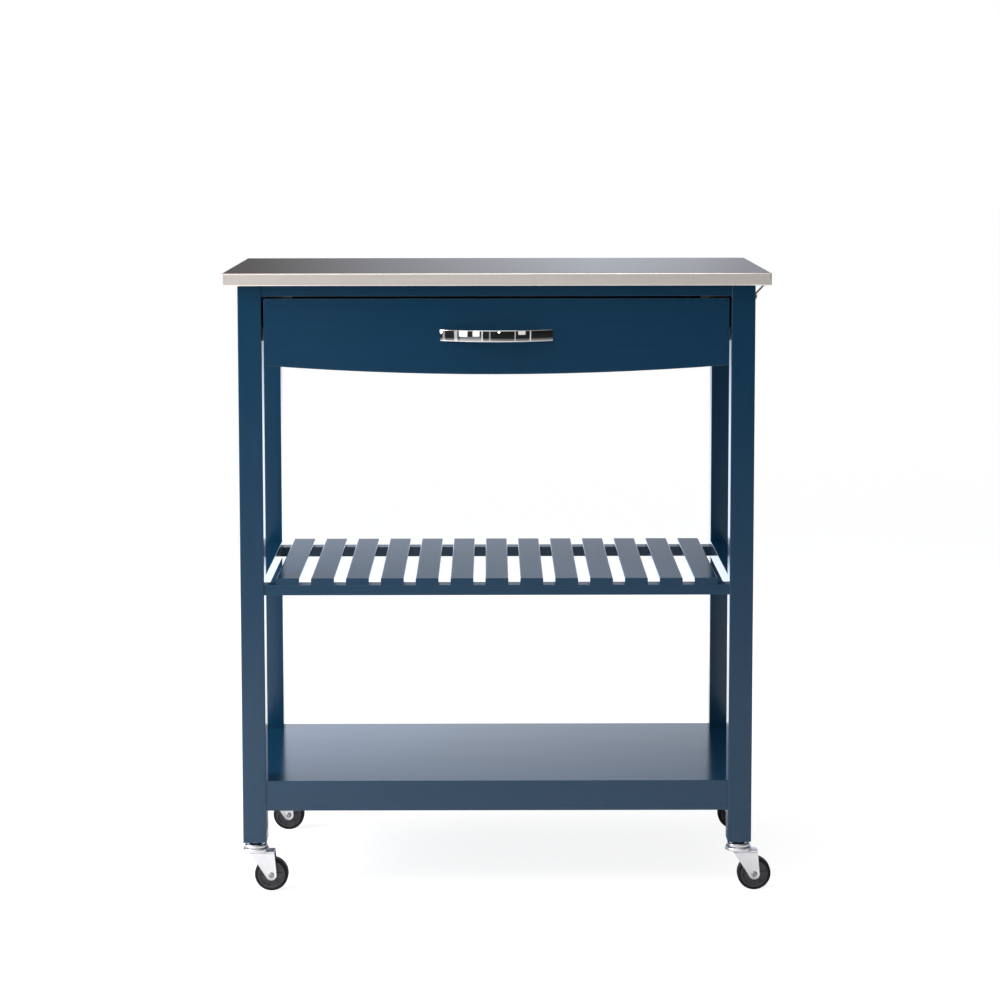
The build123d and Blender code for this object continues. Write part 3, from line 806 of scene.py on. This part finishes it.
@dataclass
class Caster:
    """One swivel caster below its stem.

    Sizes are in millimetres and heights are above the floor. `spare` is what the bent sheet has more
    than the fork before it is cut to its outline, and `rib_turn` is in degrees.
    """

    place: str
    spot: Vector
    trail: float = 23.3
    axle_height: float = 25.0
    top: float = 61.0
    half_width: float = 12.5
    sheet: float = 2.0
    bend: float = 3.0
    heel: float = 9.0
    toe: float = 28.1
    tip_radius: float = 8.0
    race: float = 20.0
    rolled: float = 2.2
    border: float = 1.7
    emboss: float = 0.45
    spare: float = 2.0
    tip_steps: int = 16
    rib_count: int = 6
    rib: Point = (10.4, 16.2, 1.3)
    rib_middle: float = 12.2
    rib_edge: float = 0.4
    rib_turn: float = -8.0
    steps: int = 64

    @property
    def axle_point(self) -> Point:
        """Middle of the wheel, in metres."""
        return (self.spot.x + self.trail * MM, self.spot.y, self.axle_height * MM)

    def clip_planes(self) -> list[tuple[Vector, Vector]]:
        """Planes that give the side plates their tapering outline and round tip.

        Returns:
            Point and outward normal of each plane, in metres, from the stem's foot.
        """
        centre = Vector((self.trail, 0.0, self.axle_height))

        def tangent(corner_x: float, side: float) -> float:
            """Angle of the normal of the line from a top corner to the round tip."""
            away = Vector((corner_x - centre.x, self.top - centre.z))
            return math.atan2(away.y, away.x) + side * math.acos(self.tip_radius / away.length)

        first = tangent(-self.heel, 1.0)
        last = tangent(self.toe, -1.0) + FULL_TURN
        planes = []
        for step in range(self.tip_steps + 1):
            turn = first + (last - first) * step / self.tip_steps
            normal = Vector((math.cos(turn), 0.0, math.sin(turn)))
            planes.append(((centre + normal * self.tip_radius) * MM, normal))
        return planes

    def sheet_section(self) -> Outline:
        """Section of the folded sheet: an upside-down U with round bends.

        Returns:
            Y and height in millimetres, in order round the sheet.
        """
        low = self.axle_height - self.tip_radius - self.spare
        outer, inner = self.half_width, self.half_width - self.sheet
        left, right = ((side * (outer - self.bend), self.top - self.bend) for side in (-1.0, 1.0))
        tight = self.bend - self.sheet
        outside = [*arc(left, self.bend, 180.0, 90.0, 6), *arc(right, self.bend, 90.0, 0.0, 6)]
        inside = [*arc(right, tight, 0.0, 90.0, 6), *arc(left, tight, 90.0, 180.0, 6)]
        return [(-outer, low), *outside, (outer, low), (inner, low), *inside, (-inner, low)]

    def bent_sheet(self) -> Shape:
        """Closed U-shaped channel that is longer and deeper than the fork.

        Returns:
            The channel in metres, from the stem's foot.
        """
        made = bmesh.new()
        start = -self.heel - self.spare
        points = [made.verts.new((start * MM, y * MM, z * MM)) for y, z in self.sheet_section()]
        edges = [made.edges.new((points[index - 1], points[index])) for index in range(len(points))]
        grown = bmesh.ops.extrude_edge_only(made, edges=edges)["geom"]
        far_end = [item for item in grown if isinstance(item, bmesh.types.BMVert)]
        reach = self.trail + self.tip_radius + self.spare - start
        bmesh.ops.translate(made, vec=(reach * MM, 0, 0), verts=far_end)
        bmesh.ops.holes_fill(made, edges=open_edges(made))
        return made

    def fork(self) -> None:
        """Pressed fork: bent sheet with sunk cheeks, and the round lower race on it."""
        made = self.bent_sheet()
        for point, normal in self.clip_planes():
            cut_off(made, point, normal)
        bmesh.ops.recalc_face_normals(made, faces=made.faces)
        outside = self.half_width * MM - SAME_LEVEL
        cheeks = [face for face in made.faces if all(abs(vert.co.y) > outside for vert in face.verts)]
        border = self.border * MM
        for cheek in cheeks:
            inwards = -math.copysign(self.emboss * MM, cheek.normal.y)
            bmesh.ops.inset_region(made, faces=[cheek], thickness=border, use_even_offset=True)
            bmesh.ops.translate(made, verts=cheek.verts, vec=(0, inwards, 0))
        foot = (self.spot.x, self.spot.y, 0.0)
        bmesh.ops.translate(made, verts=made.verts, vec=foot)
        merge_in(made, turned_part(self.race_section(), foot, Along.Z, self.steps))
        show(
            f"fork_{self.place}", made, FORK_ZINC, f"caster_swivel_{self.place}",
            f"caster_fork_{self.place}", sharp=30.0,
        )

    def race_section(self) -> Outline:
        """Section of the lower race: a shallow pressed dish with a rolled rim.

        Returns:
            Radius and height above the floor, in millimetres.
        """
        race, top, upper, rolled = self.race, self.top, self.top + 5.2, self.rolled
        rim = [(race - 1.2, top), (race, top + 0.9), (race, top + 3.0)]
        rim += arc((race - rolled, top + 3.0), rolled, 8.0, 90.0, 6)
        groove = [(16.4, upper), (15.6, top + 4.4), (13.6, top + 4.4), (12.8, upper)]
        return [*rim, *groove, (3.55, upper), (3.55, top)]

    def axle(self) -> None:
        """Riveted axle with domed, dimpled ends."""
        half = self.half_width
        dimple = [(0.0, half + 0.1), (1.4, half + 0.2), (1.7, half + 1.2)]
        dome = [(2.3, half + 1.4), (3.6, half + 1.2), (4.4, half + 0.6), (4.6, half), (3.0, half)]
        section = both_sides([*dimple, *dome])
        made = turned_part(section, self.axle_point, Along.Y, self.steps // 2)
        show(
            f"axle_{self.place}", made, AXLE_STEEL, f"caster_swivel_{self.place}",
            f"caster_axle_{self.place}",
        )

    def hub(self) -> None:
        """Moulded wheel centre: boss, recessed web with ribs, and rim."""
        boss = [(3.05, 10.2), (6.6, 10.2), (7.0, 9.8), (7.4, 7.0), (8.0, 6.5)]
        rim = [(16.6, 6.5), (17.3, 6.9), (17.7, 8.6), (18.1, 9.0), (20.0, 9.0)]
        section = both_sides([*boss, *rim])
        made = turned_part(section, self.axle_point, Along.Y, self.steps)
        for index in range(self.rib_count):
            angle = FULL_TURN * index / self.rib_count + math.radians(self.rib_turn)
            merge_in(made, self.hub_rib(angle))
        show(
            f"hub_{self.place}", made, HUB_PLASTIC, f"caster_wheel_{self.place}",
            f"caster_hub_{self.place}",
        )

    def hub_rib(self, angle: float) -> Shape:
        """Builds one rib of the hub, with its long edges rounded.

        Args:
            angle: How far the rib is turned about the axle, in radians.

        Returns:
            The rib in metres, at its place.
        """
        rib = bmesh.new()
        bmesh.ops.create_cube(rib, size=1.0)
        bmesh.ops.scale(rib, verts=rib.verts, vec=Vector(self.rib) * MM)
        long_edges = [edge for edge in rib.edges if abs(edge.verts[0].co.x - edge.verts[1].co.x) > MM]
        bmesh.ops.bevel(
            rib, geom=long_edges, offset=self.rib_edge * MM, segments=2, profile=0.5, affect="EDGES",
            material=-1, clamp_overlap=True,
        )
        bmesh.ops.translate(rib, verts=rib.verts, vec=(self.rib_middle * MM, 0.0, 0.0))
        turn = Matrix.Rotation(angle, 4, "Y")
        bmesh.ops.transform(rib, matrix=Matrix.Translation(self.axle_point) @ turn, verts=rib.verts)
        return rib

    def tyre(self) -> None:
        """Tread ring with rounded shoulders, a side bead and a parting line."""
        bead = [(20.0, 9.0), (20.5, 9.0), (20.8, 8.6), (21.1, 8.6)]
        upper = [*bead, *arc((21.4, 5.4), 3.6, 90.0, 0.0, 8), (25.0, 0.35)]
        lower = [(radius, -height) for radius, height in upper[::-1]]
        section = [*upper, (24.88, 0.0), *lower]
        made = turned_part(section, self.axle_point, Along.Y, self.steps * 3 // 2)
        show(
            f"tyre_{self.place}", made, TYRE_RUBBER, f"caster_wheel_{self.place}",
            f"caster_tyre_{self.place}",
        )

    def build(self) -> None:
        """Builds the caster's moving parts."""
        self.fork()
        self.axle()
        self.hub()
        self.tyre()


# ---------------------------------------------------------------- pull and whole cart
@dataclass
class DrawerPull:
    """Bowed flat pull with two bosses.

    Sizes are in millimetres. `inner_share` is the back edges' rounding as a share of `edge`,
    `overrun` is how far the bow runs on past the drawer front before it is trimmed, in degrees, and
    `boss_sunk` is how much of the bow's thickness is left in front of a boss.
    """

    face_y: float = -186.5
    middle_z: float = 834.8
    length: float = 165.0
    projection: float = 23.0
    thickness: float = 4.5
    height: float = 17.6
    edge: float = 1.4
    inner_share: float = 0.4
    lower_edge: float = 2.2
    overrun: float = 1.0
    boss: float = 4.5
    boss_x: float = 64.0
    boss_sunk: float = 0.6
    steps: int = 96

    @property
    def radius(self) -> float:
        """Radius of the outer curve."""
        return ((self.length / 2) ** 2 + self.projection ** 2) / (2 * self.projection)

    def section(self) -> Outline:
        """Oblong across the bow, with its front edges rounder than its back ones.

        Returns:
            Radius of the bow and height, in millimetres.
        """
        outer, inner, half = self.radius, self.radius - self.thickness, self.height / 2
        edge, low, back = self.edge, self.lower_edge, self.edge * self.inner_share
        return [
            *arc((outer - edge, half - edge), edge, 0.0, 90.0, 5),
            *arc((inner + back, half - back), back, 90.0, 180.0, 3),
            *arc((inner + back, back - half), back, 180.0, 270.0, 3),
            *arc((outer - low, low - half), low, 270.0, 360.0, 8),
        ]

    def bosses(self) -> Iterable[Shape]:
        """Makes the two round feet that reach from the drawer front into the bow.

        Yields:
            Each boss in metres, at its place.
        """
        depth = math.sqrt(self.radius ** 2 - self.boss_x ** 2) - (self.radius - self.projection)
        end = self.boss_sunk * self.thickness - depth
        flare = [(0.0, 0.0), (self.boss + 0.8, 0.0), (self.boss + 0.7, -0.8), (self.boss, -1.4)]
        for x in (-self.boss_x, self.boss_x):
            foot = (x * MM, self.face_y * MM, self.middle_z * MM)
            yield turned_part([*flare, (self.boss, end), (0.0, end)], foot, Along.Y, self.steps // 3)

    def build(self) -> None:
        """Sweeps the bow, trims it to the drawer front and adds the bosses."""
        made = bmesh.new()
        points, edges = half_section(made, self.section())
        edges.append(made.edges.new((points[-1], points[0])))
        reach = math.asin(self.length / 2 / self.radius) + math.radians(self.overrun)
        bmesh.ops.rotate(made, verts=made.verts, matrix=Matrix.Rotation(-math.pi / 2 - reach, 3, "Z"))
        bmesh.ops.spin(made, geom=points + edges, axis=(0, 0, 1), angle=2 * reach, steps=self.steps)
        centre_y = self.face_y + self.radius - self.projection
        bmesh.ops.translate(made, verts=made.verts, vec=(0, centre_y * MM, self.middle_z * MM))
        cut_off(made, (0, self.face_y * MM, 0), (0, 1, 0))
        for boss in self.bosses():
            merge_in(made, boss)
        show("pull_bow", made, CHROME, "drawer", "drawer_pull", sharp=50.0)


@dataclass
class Cart:
    """The whole cart: which node gets which finish, and which pieces are built afresh."""

    upright: Names = ("leg_front_left", "leg_front_right", "leg_rear_left", "leg_rear_right")
    lengthways: Names = (
        "top_rail_front", "apron_rear", "shelf_rail_front", "shelf_rail_rear", "lower_rail_front",
        "lower_rail_rear", "lower_shelf_panel", "drawer_front",
    )
    crossways: Names = (
        "apron_left", "apron_right", "shelf_rail_left", "shelf_rail_right", "shelf_slats",
        "lower_rail_left", "lower_rail_right", "lower_cleats",
    )
    hardware: Names = ("frame_bolts", "barrel_nuts", "leg_inserts", "side_stay")
    rollers: Names = (
        "channel_roller_left", "channel_roller_right", "runner_roller_left", "runner_roller_right",
    )
    slides: Names = (
        "slide_channel_left", "slide_channel_right", "slide_runner_left", "slide_runner_right",
    )

    def paint(self) -> None:
        """Paints the timber, with the grain along each piece."""
        dress(self.upright, navy_paint(Along.Z))
        dress(self.lengthways, navy_paint(Along.X))
        dress(self.crossways, navy_paint(Along.Y))

    def metal_and_plastic(self) -> None:
        """Finishes the top, the slides and the hidden hardware."""
        dress(("steel_top",), BRUSHED_TOP)
        dress(("top_board",), CORE_BOARD)
        dress(self.hardware, ZINC)
        dress(("corner_blocks", *self.rollers), WHITE_NYLON)
        dress(self.slides, WHITE_EPOXY)

    def drawer_box(self) -> None:
        """Finishes the drawer's box."""
        dress(("drawer_side_left", "drawer_side_right"), pale_timber(Along.Y))
        dress(("drawer_back", "drawer_bottom"), pale_timber(Along.X))

    def casters(self) -> None:
        """Builds the stems and the four casters at their swivel axes."""
        spots = {
            joint["child"].removeprefix("caster_swivel_"): Vector(joint["pos_m"])
            for joint in frame["joints"]
            if joint["child"].startswith("caster_swivel_")
        }
        CasterStems().build(spots.values())
        for place, spot in spots.items():
            Caster(place, spot).build()

    def screws(self) -> None:
        """Builds the screws with their recesses."""
        carried = {"fixing_screws": "frame", "slat_screws": "frame", "pull_screws": "drawer"}
        for node, body in carried.items():
            CrossHeadScrews(node, body).build()

    def build(self) -> None:
        """Builds and dresses everything."""
        self.paint()
        self.metal_and_plastic()
        self.drawer_box()
        self.casters()
        self.screws()
        DrawerPull().build()


# ---------------------------------------------------------------- studio
@dataclass(frozen=True)
class Lamp:
    """A soft rectangular lamp. Places and sizes are in metres, the power in watts."""

    name: str
    place: Point
    aim: Point
    size: tuple[float, float]
    power: float

    def hang(self) -> None:
        """Hangs the lamp; the camera doesn't see it."""
        data = bpy.data.lights.new(self.name, "AREA")
        data.shape = "RECTANGLE"
        data.size, data.size_y = self.size
        data.energy = self.power
        lamp = bpy.data.objects.new(self.name, data)
        bpy.context.scene.collection.objects.link(lamp)
        lamp.location = self.place
        facing = Vector(self.aim) - Vector(self.place)
        lamp.rotation_euler = facing.to_track_quat("-Z", "Y").to_euler()
        lamp.visible_camera = False
        LOG.info("%s: %.2f W", self.name, self.power)


@dataclass(frozen=True)
class SoftBox:
    """A lit panel, placed by how it is seen from the pull.

    Angles are in degrees, the azimuth from -Y towards +X. The distance is in metres.
    """

    name: str
    azimuth: float
    wide: float
    low: float
    high: float
    away: float
    level: float

    def lamp(self, middle: Vector) -> Lamp:
        """Works out where the panel hangs, and the power that gives its level.

        Args:
            middle: Point that it is seen from and faces, in metres.

        Returns:
            The lamp.
        """
        turn = math.radians(self.azimuth)
        foot = middle + Vector((math.sin(turn), -math.cos(turn), 0.0)) * self.away
        low = middle.z + self.away * math.tan(math.radians(self.low))
        high = middle.z + self.away * math.tan(math.radians(self.high))
        width, height = 2 * self.away * math.tan(math.radians(self.wide / 2)), high - low
        place = (foot.x, foot.y, (low + high) / 2)
        aim = (middle.x, middle.y, place[2])
        return Lamp(self.name, place, aim, (width, height), self.level * math.pi * width * height)


SOFT_BOXES = (
    SoftBox("soft_box_left", -37.0, 9.5, -4.2, 30.0, 3.0, 1.9),
    SoftBox("soft_box_near", -22.4, 7.5, -3.8, 28.0, 3.4, 1.6),
    SoftBox("soft_box_right", 28.0, 8.0, -1.2, 25.0, 2.6, 0.9),
    SoftBox("low_panel_left", -29.0, 24.0, -16.0, -4.6, 3.2, 0.25),
    SoftBox("side_panel_left", -45.5, 3.6, -22.0, 20.0, 3.0, 0.7),
    SoftBox("side_panel_far", -60.0, 3.0, -22.0, 20.0, 3.0, 0.4),
    SoftBox("stand_left", -15.7, 1.2, -22.0, 20.0, 4.4, 1.2),
    SoftBox("stand_middle", -7.3, 1.2, -22.0, 20.0, 4.6, 0.5),
    SoftBox("stand_right", 20.3, 0.9, -22.0, 20.0, 4.6, 0.7),
    SoftBox("stand_far", 37.4, 1.2, -22.0, 20.0, 4.4, 0.9),
    SoftBox("flash", 2.8, 1.2, 2.6, 4.0, 4.6, 50.0),
)
BROAD_LAMPS = (
    Lamp("soft_box_top", (-0.1, -0.9, 2.8), (-0.1, -0.4, 0.9), (1.3, 1.0), 9.0),
    Lamp("soft_box_side", (-2.1, -0.6, 1.45), (0.0, 0.0, 0.4), (1.4, 1.4), 72.0),
)


def studio_piece(name: str, shape: Shape, material: bpy.types.Material) -> bpy.types.Object:
    """Makes a piece of the studio from a shape.

    Args:
        name: Name of the piece.
        shape: Geometry in metres, at its place; it is freed.
        material: What covers it.

    Returns:
        The piece.
    """
    mesh = bpy.data.meshes.new(name)
    shape.to_mesh(mesh)
    shape.free()
    mesh.materials.append(material)
    piece = bpy.data.objects.new(name, mesh)
    bpy.context.scene.collection.objects.link(piece)
    LOG.info("%s: stage", name)
    return piece


def bare_material(name: str) -> bpy.types.Material:
    """Makes a material whose tree is empty.

    Args:
        name: Name of the material.

    Returns:
        The material.
    """
    made = bpy.data.materials.new(name)
    made.use_nodes = True
    made.node_tree.nodes.clear()
    return made


def glow_node(tree: Tree, strength: Socket | float, colour: Colour = WHITE) -> Socket:
    """Light given off by a surface."""
    return add_node(tree, "Emission", {"Color": (*colour, 1.0), "Strength": strength}).outputs[0]


def sky_node(tree: Tree, strength: Socket | float) -> Socket:
    """White light from all round."""
    return add_node(tree, "Background", {"Color": (*WHITE, 1.0), "Strength": strength}).outputs[0]


def seen_apart(tree: Tree, for_light: Socket, for_view: Socket) -> Socket:
    """One shader for light and reflections, another for the plain view."""
    return add_node(tree, "MixShader", {0: plain_view(tree), 1: for_light, 2: for_view}).outputs[0]


@dataclass
class Studio:
    """Pale floor, lit screen, soft lamps, white surroundings and the camera.

    Lengths are in metres. A table of stops pairs a place with a level of light. For the floor the
    place is the distance from `sweep_centre`, and Y for `glow`. For the screen it is the height, or
    the width from its left edge. For the room it is the Z of a direction, and X for `side_wall`.
    A span gives the two places between which a level changes. The camera's angles are in radians.
    """

    floor_size: float = 60.0
    floor_grey: Colour = (0.35, 0.35, 0.35)
    floor_lift: float = 0.86
    sweep_reach: float = 8.0
    sweep_centre: Point = (0.0, 0.4, 0.0)
    sweep: Stops = ((0.0, 0.9), (1.7, 0.88), (2.6, 0.3), (3.8, 0.1), (8.0, 0.03))
    far_light: Stops = (
        (0.0, 0.06), (1.6, 0.08), (2.3, 0.45), (3.2, 0.5),
        (4.4, 0.42), (5.6, 0.3), (6.8, 0.12), (8.0, 0.01),
    )
    far_light_y: Span = (0.2, -0.6)
    far_light_x: Span = (-1.0, 1.0)
    far_light_gain: Span = (1.15, 0.75)
    glow_reach: float = 2.5
    glow: Stops = ((0.0, 0.0), (0.3, 0.1), (0.9, 0.8), (2.5, 0.9))
    screen_y: float = 1.9
    screen_half: float = 2.6
    screen_top: float = 2.6
    screen_tint: Colour = (0.9, 1.0, 1.17)
    low_light: Stops = (
        (0.0, 2.0), (0.45, 1.75), (0.57, 1.27), (0.7, 0.7), (0.8, 0.42), (0.9, 0.33), (2.6, 0.3),
    )
    low_sides: Stops = ((0.0, 1.2), (2.0, 1.18), (3.2, 0.74), (5.2, 0.7))
    high_light: Stops = (
        (0.0, 0.04), (2.05, 0.06), (2.34, 0.28), (2.6, 0.47),
        (2.83, 0.62), (3.05, 0.53), (3.17, 0.4), (5.2, 0.15),
    )
    high_fall: Stops = ((0.0, 1.0), (1.15, 1.0), (1.6, 0.45), (2.6, 0.2))
    low_to_high: Span = (0.84, 0.98)
    above: Stops = ((0.0, 0.05), (0.5, 0.08), (0.8, 0.3), (1.0, 0.6))
    front: Stops = ((0.0, 0.02), (0.2, 0.04), (0.45, 0.35), (0.75, 0.7), (1.0, 1.1))
    front_to_above: Span = (-0.5, 0.1)
    front_x: Span = (-0.4, 0.4)
    front_gain: Span = (1.4, 0.6)
    side_wall: Stops = ((0.0, 0.0), (0.93, 0.0), (0.97, 0.45), (1.0, 0.5))
    side_fade: Stops = ((0.0, 0.9), (0.25, 1.0), (0.5, 0.2), (1.0, 0.0))
    lamp_centre: Point = (0.0, -0.2, 0.84)
    lens: float = 94.59
    sensor: float = 36.0
    shift_y: float = -0.12
    camera_place: Point = (-0.0089, -4.0185, 1.1524)
    pitch: float = 0.0997
    roll: float = 0.00114
    yaw: float = 0.0036
    view_reach: float = 200.0

    def floor(self) -> None:
        """Pale floor that reads white to the camera and keeps a soft shadow."""
        made = bmesh.new()
        bmesh.ops.create_grid(made, x_segments=2, y_segments=2, size=self.floor_size / 2)
        floor = studio_piece("studio_floor", made, self.floor_material())

    def backdrop(self) -> None:
        """Lit screen behind the cart, bright at its foot, that only reflections and soft light see."""
        made = bmesh.new()
        bmesh.ops.create_grid(made, x_segments=2, y_segments=2, size=1.0)
        bmesh.ops.scale(made, verts=made.verts, vec=(self.screen_half, self.screen_top / 2, 1.0))
        bmesh.ops.rotate(made, verts=made.verts, matrix=Matrix.Rotation(math.pi / 2, 3, "X"))
        bmesh.ops.translate(made, verts=made.verts, vec=(0.0, self.screen_y, self.screen_top / 2))
        backdrop = studio_piece("studio_backdrop", made, self.backdrop_material())

    def backdrop_material(self) -> bpy.types.Material:
        """Glow by height and width, and clear to the camera's own rays.

        Returns:
            The material.
        """
        made = bare_material("studio_backdrop")
        tree = made.node_tree
        at = axes_node(tree, add_node(tree, "TexCoord").outputs["Object"])
        up = at["Z"]
        across = math_node(tree, "ADD", at["X"], self.screen_half)
        width = 2 * self.screen_half
        low = ramp_node(tree, up, self.low_light, self.screen_top)
        sides = ramp_node(tree, across, self.low_sides, width)
        foot = math_node(tree, "MULTIPLY", low, sides)
        bright = ramp_node(tree, across, self.high_light, width)
        fall = ramp_node(tree, up, self.high_fall, self.screen_top)
        head = math_node(tree, "MULTIPLY", bright, fall)
        level = blend_node(tree, range_node(tree, up, self.low_to_high), foot, head)
        glow = glow_node(tree, level, self.screen_tint)
        clear = add_node(tree, "BsdfTransparent").outputs[0]
        add_node(tree, "OutputMaterial", {"Surface": seen_apart(tree, glow, clear)})
        return made

    def floor_material(self) -> bpy.types.Material:
        """White sweep with lit paper round it; to the camera, near white that takes a shadow.

        Returns:
            The material.
        """
        made = bare_material("studio_floor")
        tree = made.node_tree
        place = add_node(tree, "TexCoord").outputs["Object"]
        at = axes_node(tree, place)
        from_centre = {0: place, 1: self.sweep_centre}
        away = add_node(tree, "VectorMath", from_centre, operation="DISTANCE").outputs["Value"]
        sweep = ramp_node(tree, away, self.sweep, self.sweep_reach)
        paper = add_node(tree, "BsdfDiffuse", {"Color": sweep}).outputs[0]
        rear = ramp_node(tree, at["Y"], self.glow, self.glow_reach)
        far = ramp_node(tree, away, self.far_light, self.sweep_reach)
        ahead = math_node(tree, "MULTIPLY", far, range_node(tree, at["Y"], self.far_light_y))
        gain = range_node(tree, at["X"], self.far_light_x, self.far_light_gain)
        level = math_node(tree, "ADD", rear, math_node(tree, "MULTIPLY", ahead, gain))
        lit = add_node(tree, "AddShader", {0: paper, 1: glow_node(tree, level)}).outputs[0]
        grey = add_node(tree, "BsdfDiffuse", {"Color": (*self.floor_grey, 1.0)}).outputs[0]
        seen = add_node(tree, "AddShader", {0: grey, 1: glow_node(tree, self.floor_lift)}).outputs[0]
        add_node(tree, "OutputMaterial", {"Surface": seen_apart(tree, lit, seen)})
        return made

    def surroundings(self) -> None:
        """Plain white to the camera; for light, brighter overhead and at the left, with side walls."""
        world = bpy.data.worlds.new("studio")
        bpy.context.scene.world = world
        world.use_nodes = True
        tree = world.node_tree
        tree.nodes.clear()
        way = axes_node(tree, add_node(tree, "TexCoord").outputs["Generated"])
        above = ramp_node(tree, way["Z"], self.above)
        gain = range_node(tree, way["X"], self.front_x, self.front_gain)
        front = math_node(tree, "MULTIPLY", ramp_node(tree, way["Z"], self.front), gain)
        room = blend_node(tree, range_node(tree, way["Y"], self.front_to_above), front, above)
        wall = ramp_node(tree, math_node(tree, "ABSOLUTE", way["X"]), self.side_wall)
        walls = math_node(tree, "MULTIPLY", wall, ramp_node(tree, way["Z"], self.side_fade))
        light = sky_node(tree, math_node(tree, "ADD", room, walls))
        add_node(tree, "OutputWorld", {"Surface": seen_apart(tree, light, sky_node(tree, 1.0))})

    def lamps(self) -> None:
        """The panels round the front, a broad lamp overhead and one at the side."""
        for soft_box in SOFT_BOXES:
            soft_box.lamp(Vector(self.lamp_centre)).hang()
        for lamp in BROAD_LAMPS:
            lamp.hang()

    def camera(self) -> None:
        """Camera at eye height, well back, looking slightly down."""
        data = bpy.data.cameras.new("camera")
        data.sensor_width = self.sensor
        data.lens = self.lens
        data.shift_y = self.shift_y
        data.clip_end = self.view_reach
        camera = bpy.data.objects.new("camera", data)
        bpy.context.scene.collection.objects.link(camera)
        heading = Matrix.Rotation(-self.yaw, 4, "Z")
        tilt = Matrix.Rotation(math.pi / 2 - self.pitch, 4, "X")
        lean = Matrix.Rotation(-self.roll, 4, "Z")
        camera.matrix_world = Matrix.Translation(self.camera_place) @ heading @ tilt @ lean
        bpy.context.scene.camera = camera

    def build(self) -> None:
        """Sets up the whole studio."""
        self.floor()
        self.backdrop()
        self.surroundings()
        self.lamps()
        self.camera()
        bpy.context.scene.view_settings.view_transform = "Standard"


def main() -> None:
    """Builds the cart and its studio."""
    logging.basicConfig(level=logging.INFO, format="%(name)s: %(message)s")
    Cart().build()
    Studio().build()


if __name__ == "__main__":
    main()
